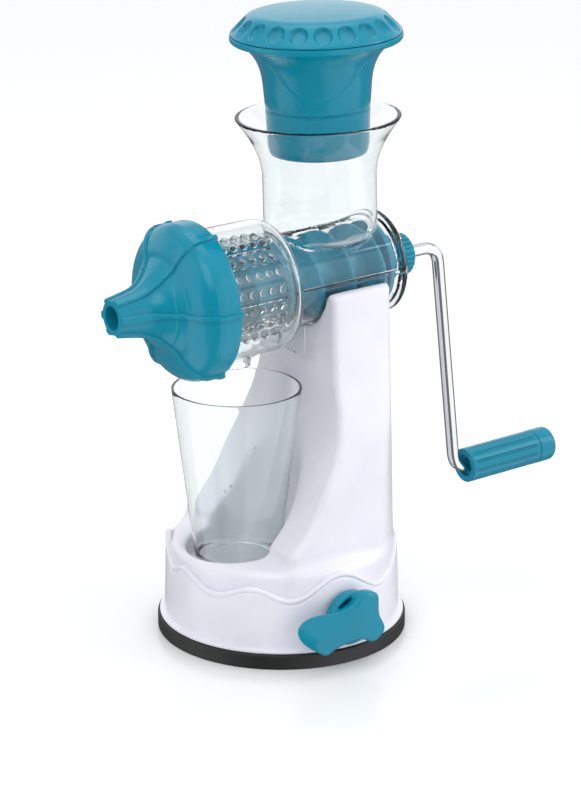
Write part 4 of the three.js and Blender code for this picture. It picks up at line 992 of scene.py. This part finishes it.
def strainer_ends(head):
    """Front and rear faces of the strainer along the barrel axis."""
    return -head.housing_front + 1.5 * MM, -head.housing_rear - head.wall - 0.3 * MM


def strainer_stave(head):
    """One stave of the strainer sleeve, with its row of domed bumps, on +Z."""
    front, rear = strainer_ends(head)
    outer, inner = head.strainer_radius, head.strainer_radius - STRAINER_WALL
    half = math.pi / STRAINER_ROWS
    slot = 0.9 * MM / outer
    edges = np.linspace(-half + slot, half - slot, 9)
    stops = (front + STRAINER_BAND, rear - STRAINER_BAND - 1 * MM)
    points, faces = [], []
    for x in stops:
        for radius in (outer, inner):
            points += [(x, radius * math.sin(a), radius * math.cos(a)) for a in edges]
    count = len(edges)
    for k in range(count - 1):
        faces.append((k, k + 1, 2 * count + k + 1, 2 * count + k))
        faces.append((count + k + 1, count + k, 3 * count + k, 3 * count + k + 1))
        faces.append((k + 1, k, count + k, count + k + 1))
        faces.append((2 * count + k, 2 * count + k + 1, 3 * count + k + 1, 3 * count + k))
    last = count - 1
    faces.append((0, 2 * count, 3 * count, count))
    faces.append((last, count + last, 3 * count + last, 2 * count + last))
    stave = build("stave", points, faces, Matrix.Identity(4))
    rings = [(1, 0), (0.93, 0.32), (0.74, 0.6), (0.42, 0.82), (0, 0.9)]
    first = (stops[0] + stops[1] - (STRAINER_BUMPS - 1) * STRAINER_PITCH) / 2
    bumps = []
    for k in range(STRAINER_BUMPS):
        place = Matrix.Translation((first + k * STRAINER_PITCH, 0, outer - 0.35 * MM))
        outline = [(-0.3 * BUMP_RADIUS, 0), (-0.3 * BUMP_RADIUS, BUMP_RADIUS)]
        outline += [(height * BUMP_RADIUS, share * BUMP_RADIUS) for share, height in rings]
        bumps.append(revolve(f"bump_{k}", outline, 14, place, "z", sharp=70))
    return join_into(stave, *bumps)


class JUICER_OT_strainer(bpy.types.Operator):
    """Make the strainer: slotted sleeve with rows of domed bumps between two rings"""
    bl_idname = "juicer.strainer"
    bl_label = "Strainer"

    def execute(self, context):
        head = context.scene.juicer_head
        stave = strainer_stave(head)
        sleeve = repeat_round("strainer_sleeve", stave, STRAINER_ROWS, (1, 0, 0), MATERIALS["clear"])
        bpy.data.objects.remove(stave)
        front, rear = strainer_ends(head)
        outer, inner = head.strainer_radius, head.strainer_radius - STRAINER_WALL
        bands = ((front, front + STRAINER_BAND + 0.1 * MM), (rear - STRAINER_BAND - 1.1 * MM, rear))
        rings = []
        for k, (start, end) in enumerate(bands):
            corners = loop([
                (start, inner, 0), (start, outer, 0.4 * MM), (end, outer, 0.4 * MM), (end, inner, 0)])
            rings.append(revolve(f"strainer_ring_{k}", rounded(corners), 144, Matrix.Identity(4)))
        join_into(sleeve, *rings)
        sleeve.data.transform(HEAD)
        finish_mesh(sleeve.data, 50)
        ride(sleeve, "base", "clear_plastic", MATERIALS["clear"], "strainer")
        return {"FINISHED"}


# ---- auger, cap, pusher ---------------------------------------------------------

AUGER_PITCH = 24 * MM


class JUICER_OT_auger(bpy.types.Operator):
    """Make the auger: winding flight on a core, rear disc and neck"""
    bl_idname = "juicer.auger"
    bl_label = "Auger"

    def execute(self, context):
        head = context.scene.juicer_head
        front = -head.housing_front + 4 * MM
        bore = head.barrel_radius - 2.4 * MM
        disc_rear = head.barrel_end - 6.2 * MM
        disc = disc_rear - 3.2 * MM
        neck_end = head.barrel_end + 2.6 * MM
        corners = [
            (front - 19 * MM, 0, 0),
            (front - 18.6 * MM, 3.5 * MM, 1 * MM),
            (front - 17 * MM, 6 * MM, 1 * MM),
            (front - 1 * MM, 19 * MM, 1 * MM),
            (front + 1 * MM, 19.5 * MM, 0.5 * MM),
            (disc - 1 * MM, 13.5 * MM, 0.5 * MM),
            (disc, bore - 1 * MM, 0.5 * MM),
            (disc_rear, bore - 1 * MM, 0.5 * MM),
            (disc_rear, 8.2 * MM, 0.3 * MM),
            (neck_end, 8.2 * MM, 0.4 * MM),
            (neck_end, 4.3 * MM, 0.3 * MM),
            (neck_end - 25 * MM, 4.3 * MM, 0),
            (neck_end - 25 * MM, 0, 0),
        ]
        outline = dense(rounded(corners), 0.8 * MM)

        def flight(angle, along, radius):
            share = np.clip((disc - along) / (disc - front), 0, 1)
            core = (15 + 6 * share) * MM
            wide = np.clip((-along - head.housing_rear - 1 * MM) / (6 * MM), 0, 1)
            tip = bore + (head.strainer_radius - STRAINER_WALL - bore) * wide - 1 * MM
            phase = angle / (2 * np.pi) - along / AUGER_PITCH
            away = np.abs(phase - np.round(phase)) * AUGER_PITCH
            height = 1 - np.clip((away - 1.3 * MM) / (5 * MM), 0, 1) ** 0.8
            blade = core + (tip - core) * height
            screw = (along > front) & (along < disc - 0.5 * MM) & (radius > 10 * MM)
            return np.where(screw, np.maximum(blade - radius, 0), 0)

        auger = revolve("auger_screw", outline, 160, HEAD, lift=flight, sharp=50)
        ride(auger, "crank", "teal_plastic", MATERIALS["teal"], "auger")
        return {"FINISHED"}


CAP_RIBS = 6
RIB_START = math.radians(-2)


def ridge(distance, half_width, square=2):
    """Rounded ridge across its width: 1 in the middle, 0 outside."""
    return np.sqrt(np.clip(1 - np.abs(distance / half_width) ** square, 0, 1))


def nearest_turn(angle, start, count):
    """Signed angle to the nearest of count evenly spaced directions."""
    step = 2 * np.pi / count
    return (angle - start + step / 2) % step - step / 2


class JUICER_OT_cap(bpy.types.Operator):
    """Make the front cap: dome with straight ribs, rim tabs and a ribbed nozzle"""
    bl_idname = "juicer.cap"
    bl_label = "Front cap"

    def execute(self, context):
        head = context.scene.juicer_head
        rim = CAP_REAR - 12 * MM
        nose = -head.housing_front - 56.75 * MM
        depth = rim - nose - 19 * MM
        radius = head.cap_radius
        # share of the depth from rim to nozzle, share of the rim radius, setback
        dome = [
            (0, 1, 0.6), (0.112, 0.976, 0.6), (0.227, 0.924, 2), (0.335, 0.832, 2), (0.42, 0.718, 2),
            (0.456, 0.62, 0.5), (0.474, 0.6, 0.4), (0.56, 0.526, 0.4), (0.6, 0.508, 0.4),
            (0.618, 0.485, 0.5), (0.752, 0.392, 3), (0.95, 0.31, 4), (1.15, 0.272, 4),
        ]
        outer = [(rim - share * depth, part * radius, back * MM) for share, part, back in dome]
        outer = [(CAP_REAR, radius, 0.8 * MM), *outer, (nose, 10.8 * MM, 0.6 * MM)]
        seat = -head.housing_front - 2.5 * MM
        inner = [
            (nose, 7.5 * MM, 0.5 * MM),
            (rim - 0.98 * depth, 7.5 * MM, 0.5 * MM),
            (rim - 0.75 * depth + 2 * MM, 17.5 * MM, 2 * MM),
            (rim - 0.6 * depth + 2 * MM, 22.5 * MM, 2 * MM),
            (rim - 0.45 * depth + 2 * MM, 28 * MM, 2 * MM),
            (rim - 0.335 * depth + 2 * MM, 39 * MM, 2 * MM),
            (seat, 43 * MM, 0.5 * MM),
            (seat, 47.6 * MM, 0.5 * MM),
            (CAP_REAR, 47.6 * MM, 0.3 * MM),
        ]
        middle = ((CAP_REAR + rim) / 2, radius)
        front = dense(rounded([(*middle, 0), *outer[1:], inner[0]], 5), 0.8 * MM)
        back = dense(rounded([*inner, outer[0], (*middle, 0)], 4), 3 * MM)
        outline = np.concatenate([front, back[1:]])

        def lift(angle, along, distance):
            skin_radius = np.interp(-along, [-p[0] for p in outer], [p[1] for p in outer])
            exposed = distance > skin_radius - 1.6 * MM
            offset = nearest_turn(angle, RIB_START, CAP_RIBS) * distance
            nozzle = np.clip((rim - 0.8 * depth - along) / (8 * MM), 0, 1)
            rib = 1.7 * MM * ridge(offset, (1.5 + 0.9 * nozzle) * MM, 6)
            tab = 0.9 * MM * ridge(offset, 2.6 * MM, 5)
            tab = tab * np.clip((along - CAP_REAR + 5 * MM) / (1.2 * MM), 0, 1)
            return np.where(exposed, rib + tab, 0)

        angles = clustered(CAP_RIBS, RIB_START, math.radians(10), 44, 30)
        cap = revolve("cap_dome", outline, angles, HEAD, lift=lift, sharp=45)
        ride(cap, "cap", "teal_plastic", MATERIALS["teal"], "front_cap")
        return {"FINISHED"}


STEM_BOTTOM = 78 * MM
PUSHER_LIP = 151.8 * MM
LID_HEIGHT = 15 * MM
LID_PLATEAU = 41 * MM
DIMPLES = 20


class JUICER_OT_pusher(bpy.types.Operator):
    """Make the pusher: hollow stem, concave neck and lip"""
    bl_idname = "juicer.pusher"
    bl_label = "Pusher"

    def execute(self, context):
        head = context.scene.juicer_head
        stem, lip = head.pusher_radius, head.lip_radius
        neck = [
            (PUSHER_LIP - 27 * MM, stem + 1.4 * MM, 4 * MM),
            (PUSHER_LIP - 20 * MM, stem + 3 * MM, 3 * MM),
            (PUSHER_LIP - 13.5 * MM, stem + 6 * MM, 3 * MM),
            (PUSHER_LIP - 7 * MM, stem + 11.5 * MM, 3 * MM),
        ]
        groove = STEM_BOTTOM + 28 * MM
        outer = [
            (STEM_BOTTOM, 0, 0),
            (STEM_BOTTOM, stem - 3 * MM, 2 * MM),
            (STEM_BOTTOM + 3 * MM, stem - 1 * MM, 2 * MM),
            (groove - 0.9 * MM, stem - 0.1 * MM, 0.3 * MM),
            (groove - 0.3 * MM, stem - 0.9 * MM, 0.2 * MM),
            (groove + 0.3 * MM, stem - 0.9 * MM, 0.2 * MM),
            (groove + 0.9 * MM, stem, 0.3 * MM),
            *neck,
            (PUSHER_LIP - 4.3 * MM, lip - 1.2 * MM, 1 * MM),
            (PUSHER_LIP - 3 * MM, lip, 1 * MM),
            (PUSHER_LIP, lip, 0.8 * MM),
        ]
        inner = [
            (PUSHER_LIP, lip - 2.5 * MM, 0.5 * MM),
            (PUSHER_LIP - 3 * MM, lip - 5 * MM, 1 * MM),
            *[(z + 0.5 * MM, radius - 2.5 * MM, back) for z, radius, back in neck[::-1]],
            (STEM_BOTTOM + 2.5 * MM, stem - 5.7 * MM, 2 * MM),
            (STEM_BOTTOM + 2.5 * MM, 0, 0),
        ]
        outline = dense(rounded([*outer, *inner], 5), 0.9 * MM)
        place = HEAD @ Matrix.Translation((head.hopper_centre, 0, 0))

        def lift(angle, along, radius):
            skin_radius = np.interp(along, [p[0] for p in outer[1:]], [p[1] for p in outer[1:]])
            exposed = radius > skin_radius - 1.2 * MM
            side = nearest_turn(angle, math.radians(-125), 2)
            edge = PUSHER_LIP - 36 * MM + 27 * MM * (side / 0.95) ** 2
            arch = (along - edge) / np.sqrt(1 + (54 * MM / (0.95 * stem) * side / 0.95) ** 2)
            line = ridge(arch, 0.9 * MM) * (along > edge - 2 * MM) * (np.abs(side) < 0.93)
            panel = np.clip((arch + 0.2 * MM) / (1.2 * MM), 0, 1) * (np.abs(side) < 0.93)
            return np.where(exposed, -0.55 * MM * line - 0.15 * MM * panel, 0)

        pusher = revolve("pusher_body", outline, 300, place, "z", lift, 40)
        ride(pusher, "pusher", "teal_plastic", MATERIALS["teal"], "pusher")
        return {"FINISHED"}


class JUICER_OT_pusher_lid(bpy.types.Operator):
    """Make the pusher's lid with its band of scooped dimples"""
    bl_idname = "juicer.pusher_lid"
    bl_label = "Pusher lid"

    def execute(self, context):
        head = context.scene.juicer_head
        lip, base = head.lip_radius, PUSHER_LIP + 0.3 * MM
        crest = base + LID_HEIGHT - 0.2 * MM
        outer = [
            (base, lip - 4 * MM, 0),
            (base, lip - 0.4 * MM, 0.4 * MM),
            (base + 1.2 * MM, lip - 0.6 * MM, 0.6 * MM),
            (crest - 3.6 * MM, LID_PLATEAU + 2 * MM, 1.4 * MM),
            (crest - 2.0 * MM, LID_PLATEAU - 2 * MM, 2 * MM),
            (crest - 1.5 * MM, LID_PLATEAU - 6 * MM, 2 * MM),
            (crest - 0.4 * MM, 20 * MM, 8 * MM),
            (crest, 0, 0),
        ]
        inner = [
            (crest - 2.5 * MM, 0, 0),
            (crest - 4.1 * MM, LID_PLATEAU - 4 * MM, 1 * MM),
            (base, lip - 4 * MM, 0),
        ]
        outline = np.concatenate([
            dense(rounded(outer, 5), 0.5 * MM), dense(rounded(inner, 4), 2 * MM)])
        low, high = base + 2 * MM, crest - 3.4 * MM
        middle, half = (low + high) / 2, (high - low) / 2
        place = HEAD @ Matrix.Translation((head.hopper_centre, 0, 0))

        def lift(angle, along, radius):
            skin_radius = np.interp(along, [p[0] for p in outer], [p[1] for p in outer])
            exposed = (radius > skin_radius - 0.8 * MM) & (radius > LID_PLATEAU - 3 * MM)
            across = nearest_turn(angle, 0.1, DIMPLES) * radius / (5.7 * MM)
            up = (along - middle) / half
            hollow = np.clip(1 - across**2 - up**2, 0, 1)
            bend = 1 - (1 - hollow) ** 4
            return np.where(exposed, -2.9 * MM * bend * (0.8 + 0.2 * up), 0)

        lid = ring_with_poles("lid", outline, 500, place, lift)
        ride(lid, "pusher", "teal_plastic", MATERIALS["teal"], "pusher_lid")
        return {"FINISHED"}


def ring_with_poles(name, outline, sides, place, lift):
    """A skin whose outline reaches the axis twice, as a lid's top and underside do."""
    poles = np.where(outline[:, 1] < ON_AXIS)[0]
    start = poles[1] if len(poles) > 1 else 0
    ordered = np.concatenate([outline[start:], outline[1:start]])
    return revolve(name, ordered, sides, place, "z", lift, 40)


# ---- crank -------------------------------------------------------------------

def bend(start, corner, end, steps=14):
    shares = np.linspace(0, 1, steps)[:, None]
    start, corner, end = (np.array(p, float) for p in (start, corner, end))
    return list((1 - shares) ** 2 * start + 2 * shares * (1 - shares) * corner + shares**2 * end)


class JUICER_OT_crank(bpy.types.Operator):
    """Make the bent rod of the crank"""
    bl_idname = "juicer.crank"
    bl_label = "Crank rod"

    def execute(self, context):
        head, handles = context.scene.juicer_head, context.scene.juicer_handles
        arm_x = 122.6 * MM
        start = head.barrel_end + 2.6 * MM - 25 * MM
        finish = arm_x + 65.2 * MM
        turn = handles.rod_bend * 1.25
        upper = bend((arm_x - turn, 0, 0), (arm_x, 0, 0), (arm_x, 0, -turn))
        lower = bend((arm_x, 0, turn - CRANK_ARM), (arm_x, 0, -CRANK_ARM), (arm_x + turn, 0, -CRANK_ARM))
        path = [np.array((x, 0, 0)) for x in np.linspace(start, arm_x - turn, 12)[:-1]]
        path += upper
        path += [np.array((arm_x, 0, z)) for z in np.linspace(-turn, turn - CRANK_ARM, 30)[1:-1]]
        path += lower
        path += [np.array((x, 0, -CRANK_ARM)) for x in np.linspace(arm_x + turn, finish, 14)[1:]]
        rod = tube("rod", path, handles.rod_radius, 40, CRANK)
        ride(rod, "crank", "bright_steel", MATERIALS["rod"], "crank_rod")
        return {"FINISHED"}


class JUICER_OT_knob(bpy.types.Operator):
    """Make the knurled knob on the rod"""
    bl_idname = "juicer.knob"
    bl_label = "Knob"

    def execute(self, context):
        head, handles = context.scene.juicer_head, context.scene.juicer_handles
        front = head.barrel_end + 2.9 * MM
        rear, radius = front + 21 * MM, handles.knob_radius
        bore = handles.rod_radius + 0.3 * MM
        outer = [
            (front, radius - 1 * MM, 0.5 * MM),
            (rear - 4 * MM, radius - 1 * MM, 1.5 * MM),
            (rear - 1 * MM, radius - 3.2 * MM, 2 * MM),
            (rear, radius - 6.5 * MM, 1.5 * MM),
        ]
        corners = loop([(front, bore, 0), *outer, (rear, bore, 0.4 * MM)])
        outline = dense(rounded(corners, 6), 0.9 * MM)

        def lift(angle, along, distance):
            exposed = distance > radius - 3 * MM
            teeth = ridge(nearest_turn(angle, 0, 26) * radius, 1.15 * MM, 3)
            fade = np.clip((along - front - 0.6 * MM) / (0.8 * MM), 0, 1)
            fade = fade * np.clip((rear - 2.6 * MM - along) / (1.4 * MM), 0, 1)
            return np.where(exposed, 0.95 * MM * teeth * fade, 0)

        knob = revolve("knob", outline, 416, CRANK, lift=lift, sharp=50)
        ride(knob, "crank", "teal_plastic", MATERIALS["teal"], "crank_knob")
        return {"FINISHED"}


class JUICER_OT_grip(bpy.types.Operator):
    """Make the fluted grip and its end cap"""
    bl_idname = "juicer.grip"
    bl_label = "Grip"

    def execute(self, context):
        handles = context.scene.juicer_handles
        radius, bore = handles.grip_radius, handles.rod_radius + 0.5 * MM
        start = 131.1 * MM
        end = start + 57.2 * MM
        mouth = handles.rod_radius + 3.2 * MM
        corners = loop([
            (start + 3 * MM, mouth, 0.3 * MM),
            (start, mouth, 0.6 * MM),
            (start, radius, 0.9 * MM),
            (end, radius, 0.4 * MM),
            (end, bore, 0),
            (start + 3 * MM, bore, 0),
        ])
        outline = dense(rounded(corners, 5), 1.2 * MM)

        def lift(angle, along, distance):
            groove = ridge(nearest_turn(angle, 0.2, 12) * radius, 0.95 * MM)
            fade = np.clip((along - start - 1.5 * MM) / (1.5 * MM), 0, 1)
            fade = fade * np.clip((end - 2 * MM - along) / (1.5 * MM), 0, 1)
            return np.where(distance > radius - 0.4 * MM, -1.05 * MM * groove * fade, 0)

        grip = revolve("grip_sleeve", outline, 360, GRIP, lift=lift, sharp=50)
        ride(grip, "grip", "teal_plastic", MATERIALS["teal"], "grip")
        front = end + 0.3 * MM
        rear = front + 13.4 * MM
        corners = [
            (front + 7 * MM, 0, 0),
            (front + 7 * MM, mouth, 0.3 * MM),
            (front, mouth, 0.3 * MM),
            (front, radius, 0.4 * MM),
            (rear, radius, 3.2 * MM),
            (rear, 0, 0),
        ]
        cap = revolve("grip_end", dense(rounded(corners, 8), 1.2 * MM), 160, GRIP, sharp=50)
        ride(cap, "grip", "teal_plastic", MATERIALS["teal"], "grip_cap")
        return {"FINISHED"}


class JUICER_OT_glass(bpy.types.Operator):
    """Make the drinking glass"""
    bl_idname = "juicer.glass"
    bl_label = "Glass"

    def execute(self, context):
        foot, top = GLASS_LOW.z, GLASS_HIGH.z
        rim, wall = (GLASS_HIGH.x - GLASS_LOW.x) / 2, 1.6 * MM
        corners = [
            (foot + 0.8 * MM, 0, 0),
            (foot + 0.8 * MM, 21 * MM, 1 * MM),
            (foot, 23 * MM, 1 * MM),
            (foot, 26.6 * MM, 1.4 * MM),
            (top, rim, 0.7 * MM),
            (top, rim - wall, 0.7 * MM),
            (foot + 5.2 * MM, 26.1 * MM, 4 * MM),
            (foot + 5 * MM, 0, 0),
        ]
        place = Matrix.Translation((GLASS_X, 0, 0))
        glass = revolve("tumbler", dense(rounded(corners, 7), 3 * MM), 220, place, "z", sharp=50)
        ride(glass, "glass", "drinking_glass", MATERIALS["glass"], "juice_glass")
        return {"FINISHED"}


class JUICER_OT_hidden_pieces(bpy.types.Operator):
    """Give the suction mechanism, seals and rings their finishes"""
    bl_idname = "juicer.hidden_pieces"
    bl_label = "Inner pieces"

    def execute(self, context):
        finishes = {
            "pressure_plate": "grey", "pad_stud": "steel", "cam_shaft": "steel", "shaft_clip": "steel",
            "grip_retainer": "steel", "cap_seal": "silicone", "auger_washer": "nylon",
        }
        finishes.update({name: "steel" for name in frame["nodes"] if name.startswith("plate_screw")})
        for node, finish in finishes.items():
            mesh = frame["nodes"][node].data
            mesh.materials.clear()
            mesh.materials.append(MATERIALS[finish])
        return {"FINISHED"}


# ---- stage ---------------------------------------------------------------------

CAMERA_PLACE = (-0.9273, -1.3365, 0.6812)
CAMERA_AIM = (0.00712, 0, 0.14913)
CAMERA_LENS = 121.8


def aim(thing, place, target):
    thing.location = place
    thing.rotation_euler = (Vector(target) - Vector(place)).to_track_quat("-Z", "Y").to_euler()


def area_light(name, place, size, power, target=(0, 0, 0.2)):
    lamp = bpy.data.lights.new(name, "AREA")
    lamp.shape = "RECTANGLE"
    lamp.size, lamp.size_y = size
    lamp.energy = power
    thing = bpy.data.objects.new(name, lamp)
    bpy.context.scene.collection.objects.link(thing)
    aim(thing, place, target)


# Bright windows of the room: compass direction, half width in degrees, lowest and
# highest sine of the elevation, strength.
WINDOWS = (
    (-64, 42, -0.95, 0.6, 1.15),
    (161, 24, -0.95, 0.6, 1.15),
    (55, 75, -0.05, 0.5, 0.9),
)


def soft_room():
    """World lit by broad white windows and a white ceiling, darker in between."""
    world = bpy.data.worlds.new("soft_room")
    room = Finish("soft_room", world)
    way = room.node("ShaderNodeTexCoord")
    flat = room.node("ShaderNodeVectorMath", {"operation": "MULTIPLY"}, {0: way, 1: (1, 1, 0)})
    flat = room.node("ShaderNodeVectorMath", {"operation": "NORMALIZE"}, {0: flat})
    height = room.node("ShaderNodeSeparateXYZ", None, {0: way}, 2)
    light = height.between(0.35, 0.8) * 0.8 + 0.2
    for compass, half, low, high, strength in WINDOWS:
        facing = (math.cos(math.radians(compass)), math.sin(math.radians(compass)), 0)
        near = room.node("ShaderNodeVectorMath", {"operation": "DOT_PRODUCT"}, {0: flat, 1: facing}, 1)
        edge = [math.cos(math.radians(half + soft)) for soft in (5, -5)]
        level = height.between(low, low + 0.04) * (1 - height.between(high - 0.1, high))
        light = light + near.between(*edge) * level * strength
    glow = room.node("ShaderNodeBackground", None, {"Color": (0.98, 0.99, 1, 1), "Strength": light})
    return room.surface(glow, "ShaderNodeOutputWorld")


class JUICER_OT_stage(bpy.types.Operator):
    """Make the floor, the soft lights and the camera"""
    bl_idname = "juicer.stage"
    bl_label = "Stage"

    def execute(self, context):
        scene = context.scene
        reach = 12.0
        corners = [(-reach, -reach, 0), (reach, -reach, 0), (reach, reach, 0), (-reach, reach, 0)]
        mesh = bpy.data.meshes.new("floor")
        mesh.from_pydata(corners, [], [(0, 1, 2, 3)])
        floor = bpy.data.objects.new("floor", mesh)
        scene.collection.objects.link(floor)
        finish = Finish("pale_floor")
        pale = tuple(scene.juicer_colours.floor)
        cloud = finish.noise(3, 3)
        tone = finish.mix(cloud, shade(pale, 0.985), pale)
        mesh.materials.append(finish.surface(finish.node("ShaderNodeBsdfPrincipled", None, {
            "Base Color": tone, "Roughness": 0.16 + (cloud - 0.5) * 0.04, "IOR": 1.45,
        })))
        floor.visible_glossy = False
        scene.world = soft_room()
        scene.view_settings.view_transform = "Standard"
        area_light("key", (-1.5, -1.1, 1.7), (1.3, 1.3), 11)
        area_light("fill", (1.7, -1.3, 1.2), (0.5, 1.4), 7)
        area_light("top", (0.1, 0.3, 2.1), (1.6, 1.6), 10)
        lens = bpy.data.cameras.new("camera")
        lens.lens = CAMERA_LENS
        lens.sensor_width = 36
        lens.clip_end = 50
        camera = bpy.data.objects.new("camera", lens)
        scene.collection.objects.link(camera)
        aim(camera, CAMERA_PLACE, CAMERA_AIM)
        scene.camera = camera
        return {"FINISHED"}


class JUICER_PT_pieces(bpy.types.Panel):
    """Buttons for the juicer's pieces"""
    bl_idname = "JUICER_PT_pieces"
    bl_label = "Hand juicer"
    bl_space_type = "VIEW_3D"
    bl_region_type = "UI"
    bl_category = "Juicer"

    def draw(self, context):
        column = self.layout.column()
        for kind in OPERATORS:
            column.operator(kind.bl_idname)
        for group in (context.scene.juicer_stand, context.scene.juicer_head,
                      context.scene.juicer_handles, context.scene.juicer_colours):
            for name in group.bl_rna.properties.keys():
                if name not in ("rna_type", "name"):
                    column.prop(group, name)


GROUPS = {
    "juicer_stand": JuicerStandSizes,
    "juicer_head": JuicerHeadSizes,
    "juicer_handles": JuicerHandleSizes,
    "juicer_colours": JuicerColours,
}
OPERATORS = (
    JUICER_OT_stage, JUICER_OT_stand, JUICER_OT_skirt, JUICER_OT_pad, JUICER_OT_lever,
    JUICER_OT_clear_body, JUICER_OT_strainer, JUICER_OT_auger, JUICER_OT_cap, JUICER_OT_pusher,
    JUICER_OT_pusher_lid, JUICER_OT_crank, JUICER_OT_knob, JUICER_OT_grip, JUICER_OT_glass,
    JUICER_OT_hidden_pieces,
)


def register():
    for kind in (*GROUPS.values(), *OPERATORS, JUICER_PT_pieces):
        bpy.utils.register_class(kind)
    for name, kind in GROUPS.items():
        setattr(bpy.types.Scene, name, bpy.props.PointerProperty(type=kind))


def unregister():
    for name in GROUPS:
        delattr(bpy.types.Scene, name)
    for kind in reversed((*GROUPS.values(), *OPERATORS, JUICER_PT_pieces)):
        bpy.utils.unregister_class(kind)


def main():
    register()
    make_finishes(bpy.context.scene.juicer_colours)
    for kind in OPERATORS:
        getattr(bpy.ops.juicer, kind.bl_idname.split(".")[1])()


if __name__ == "__main__":
    main()
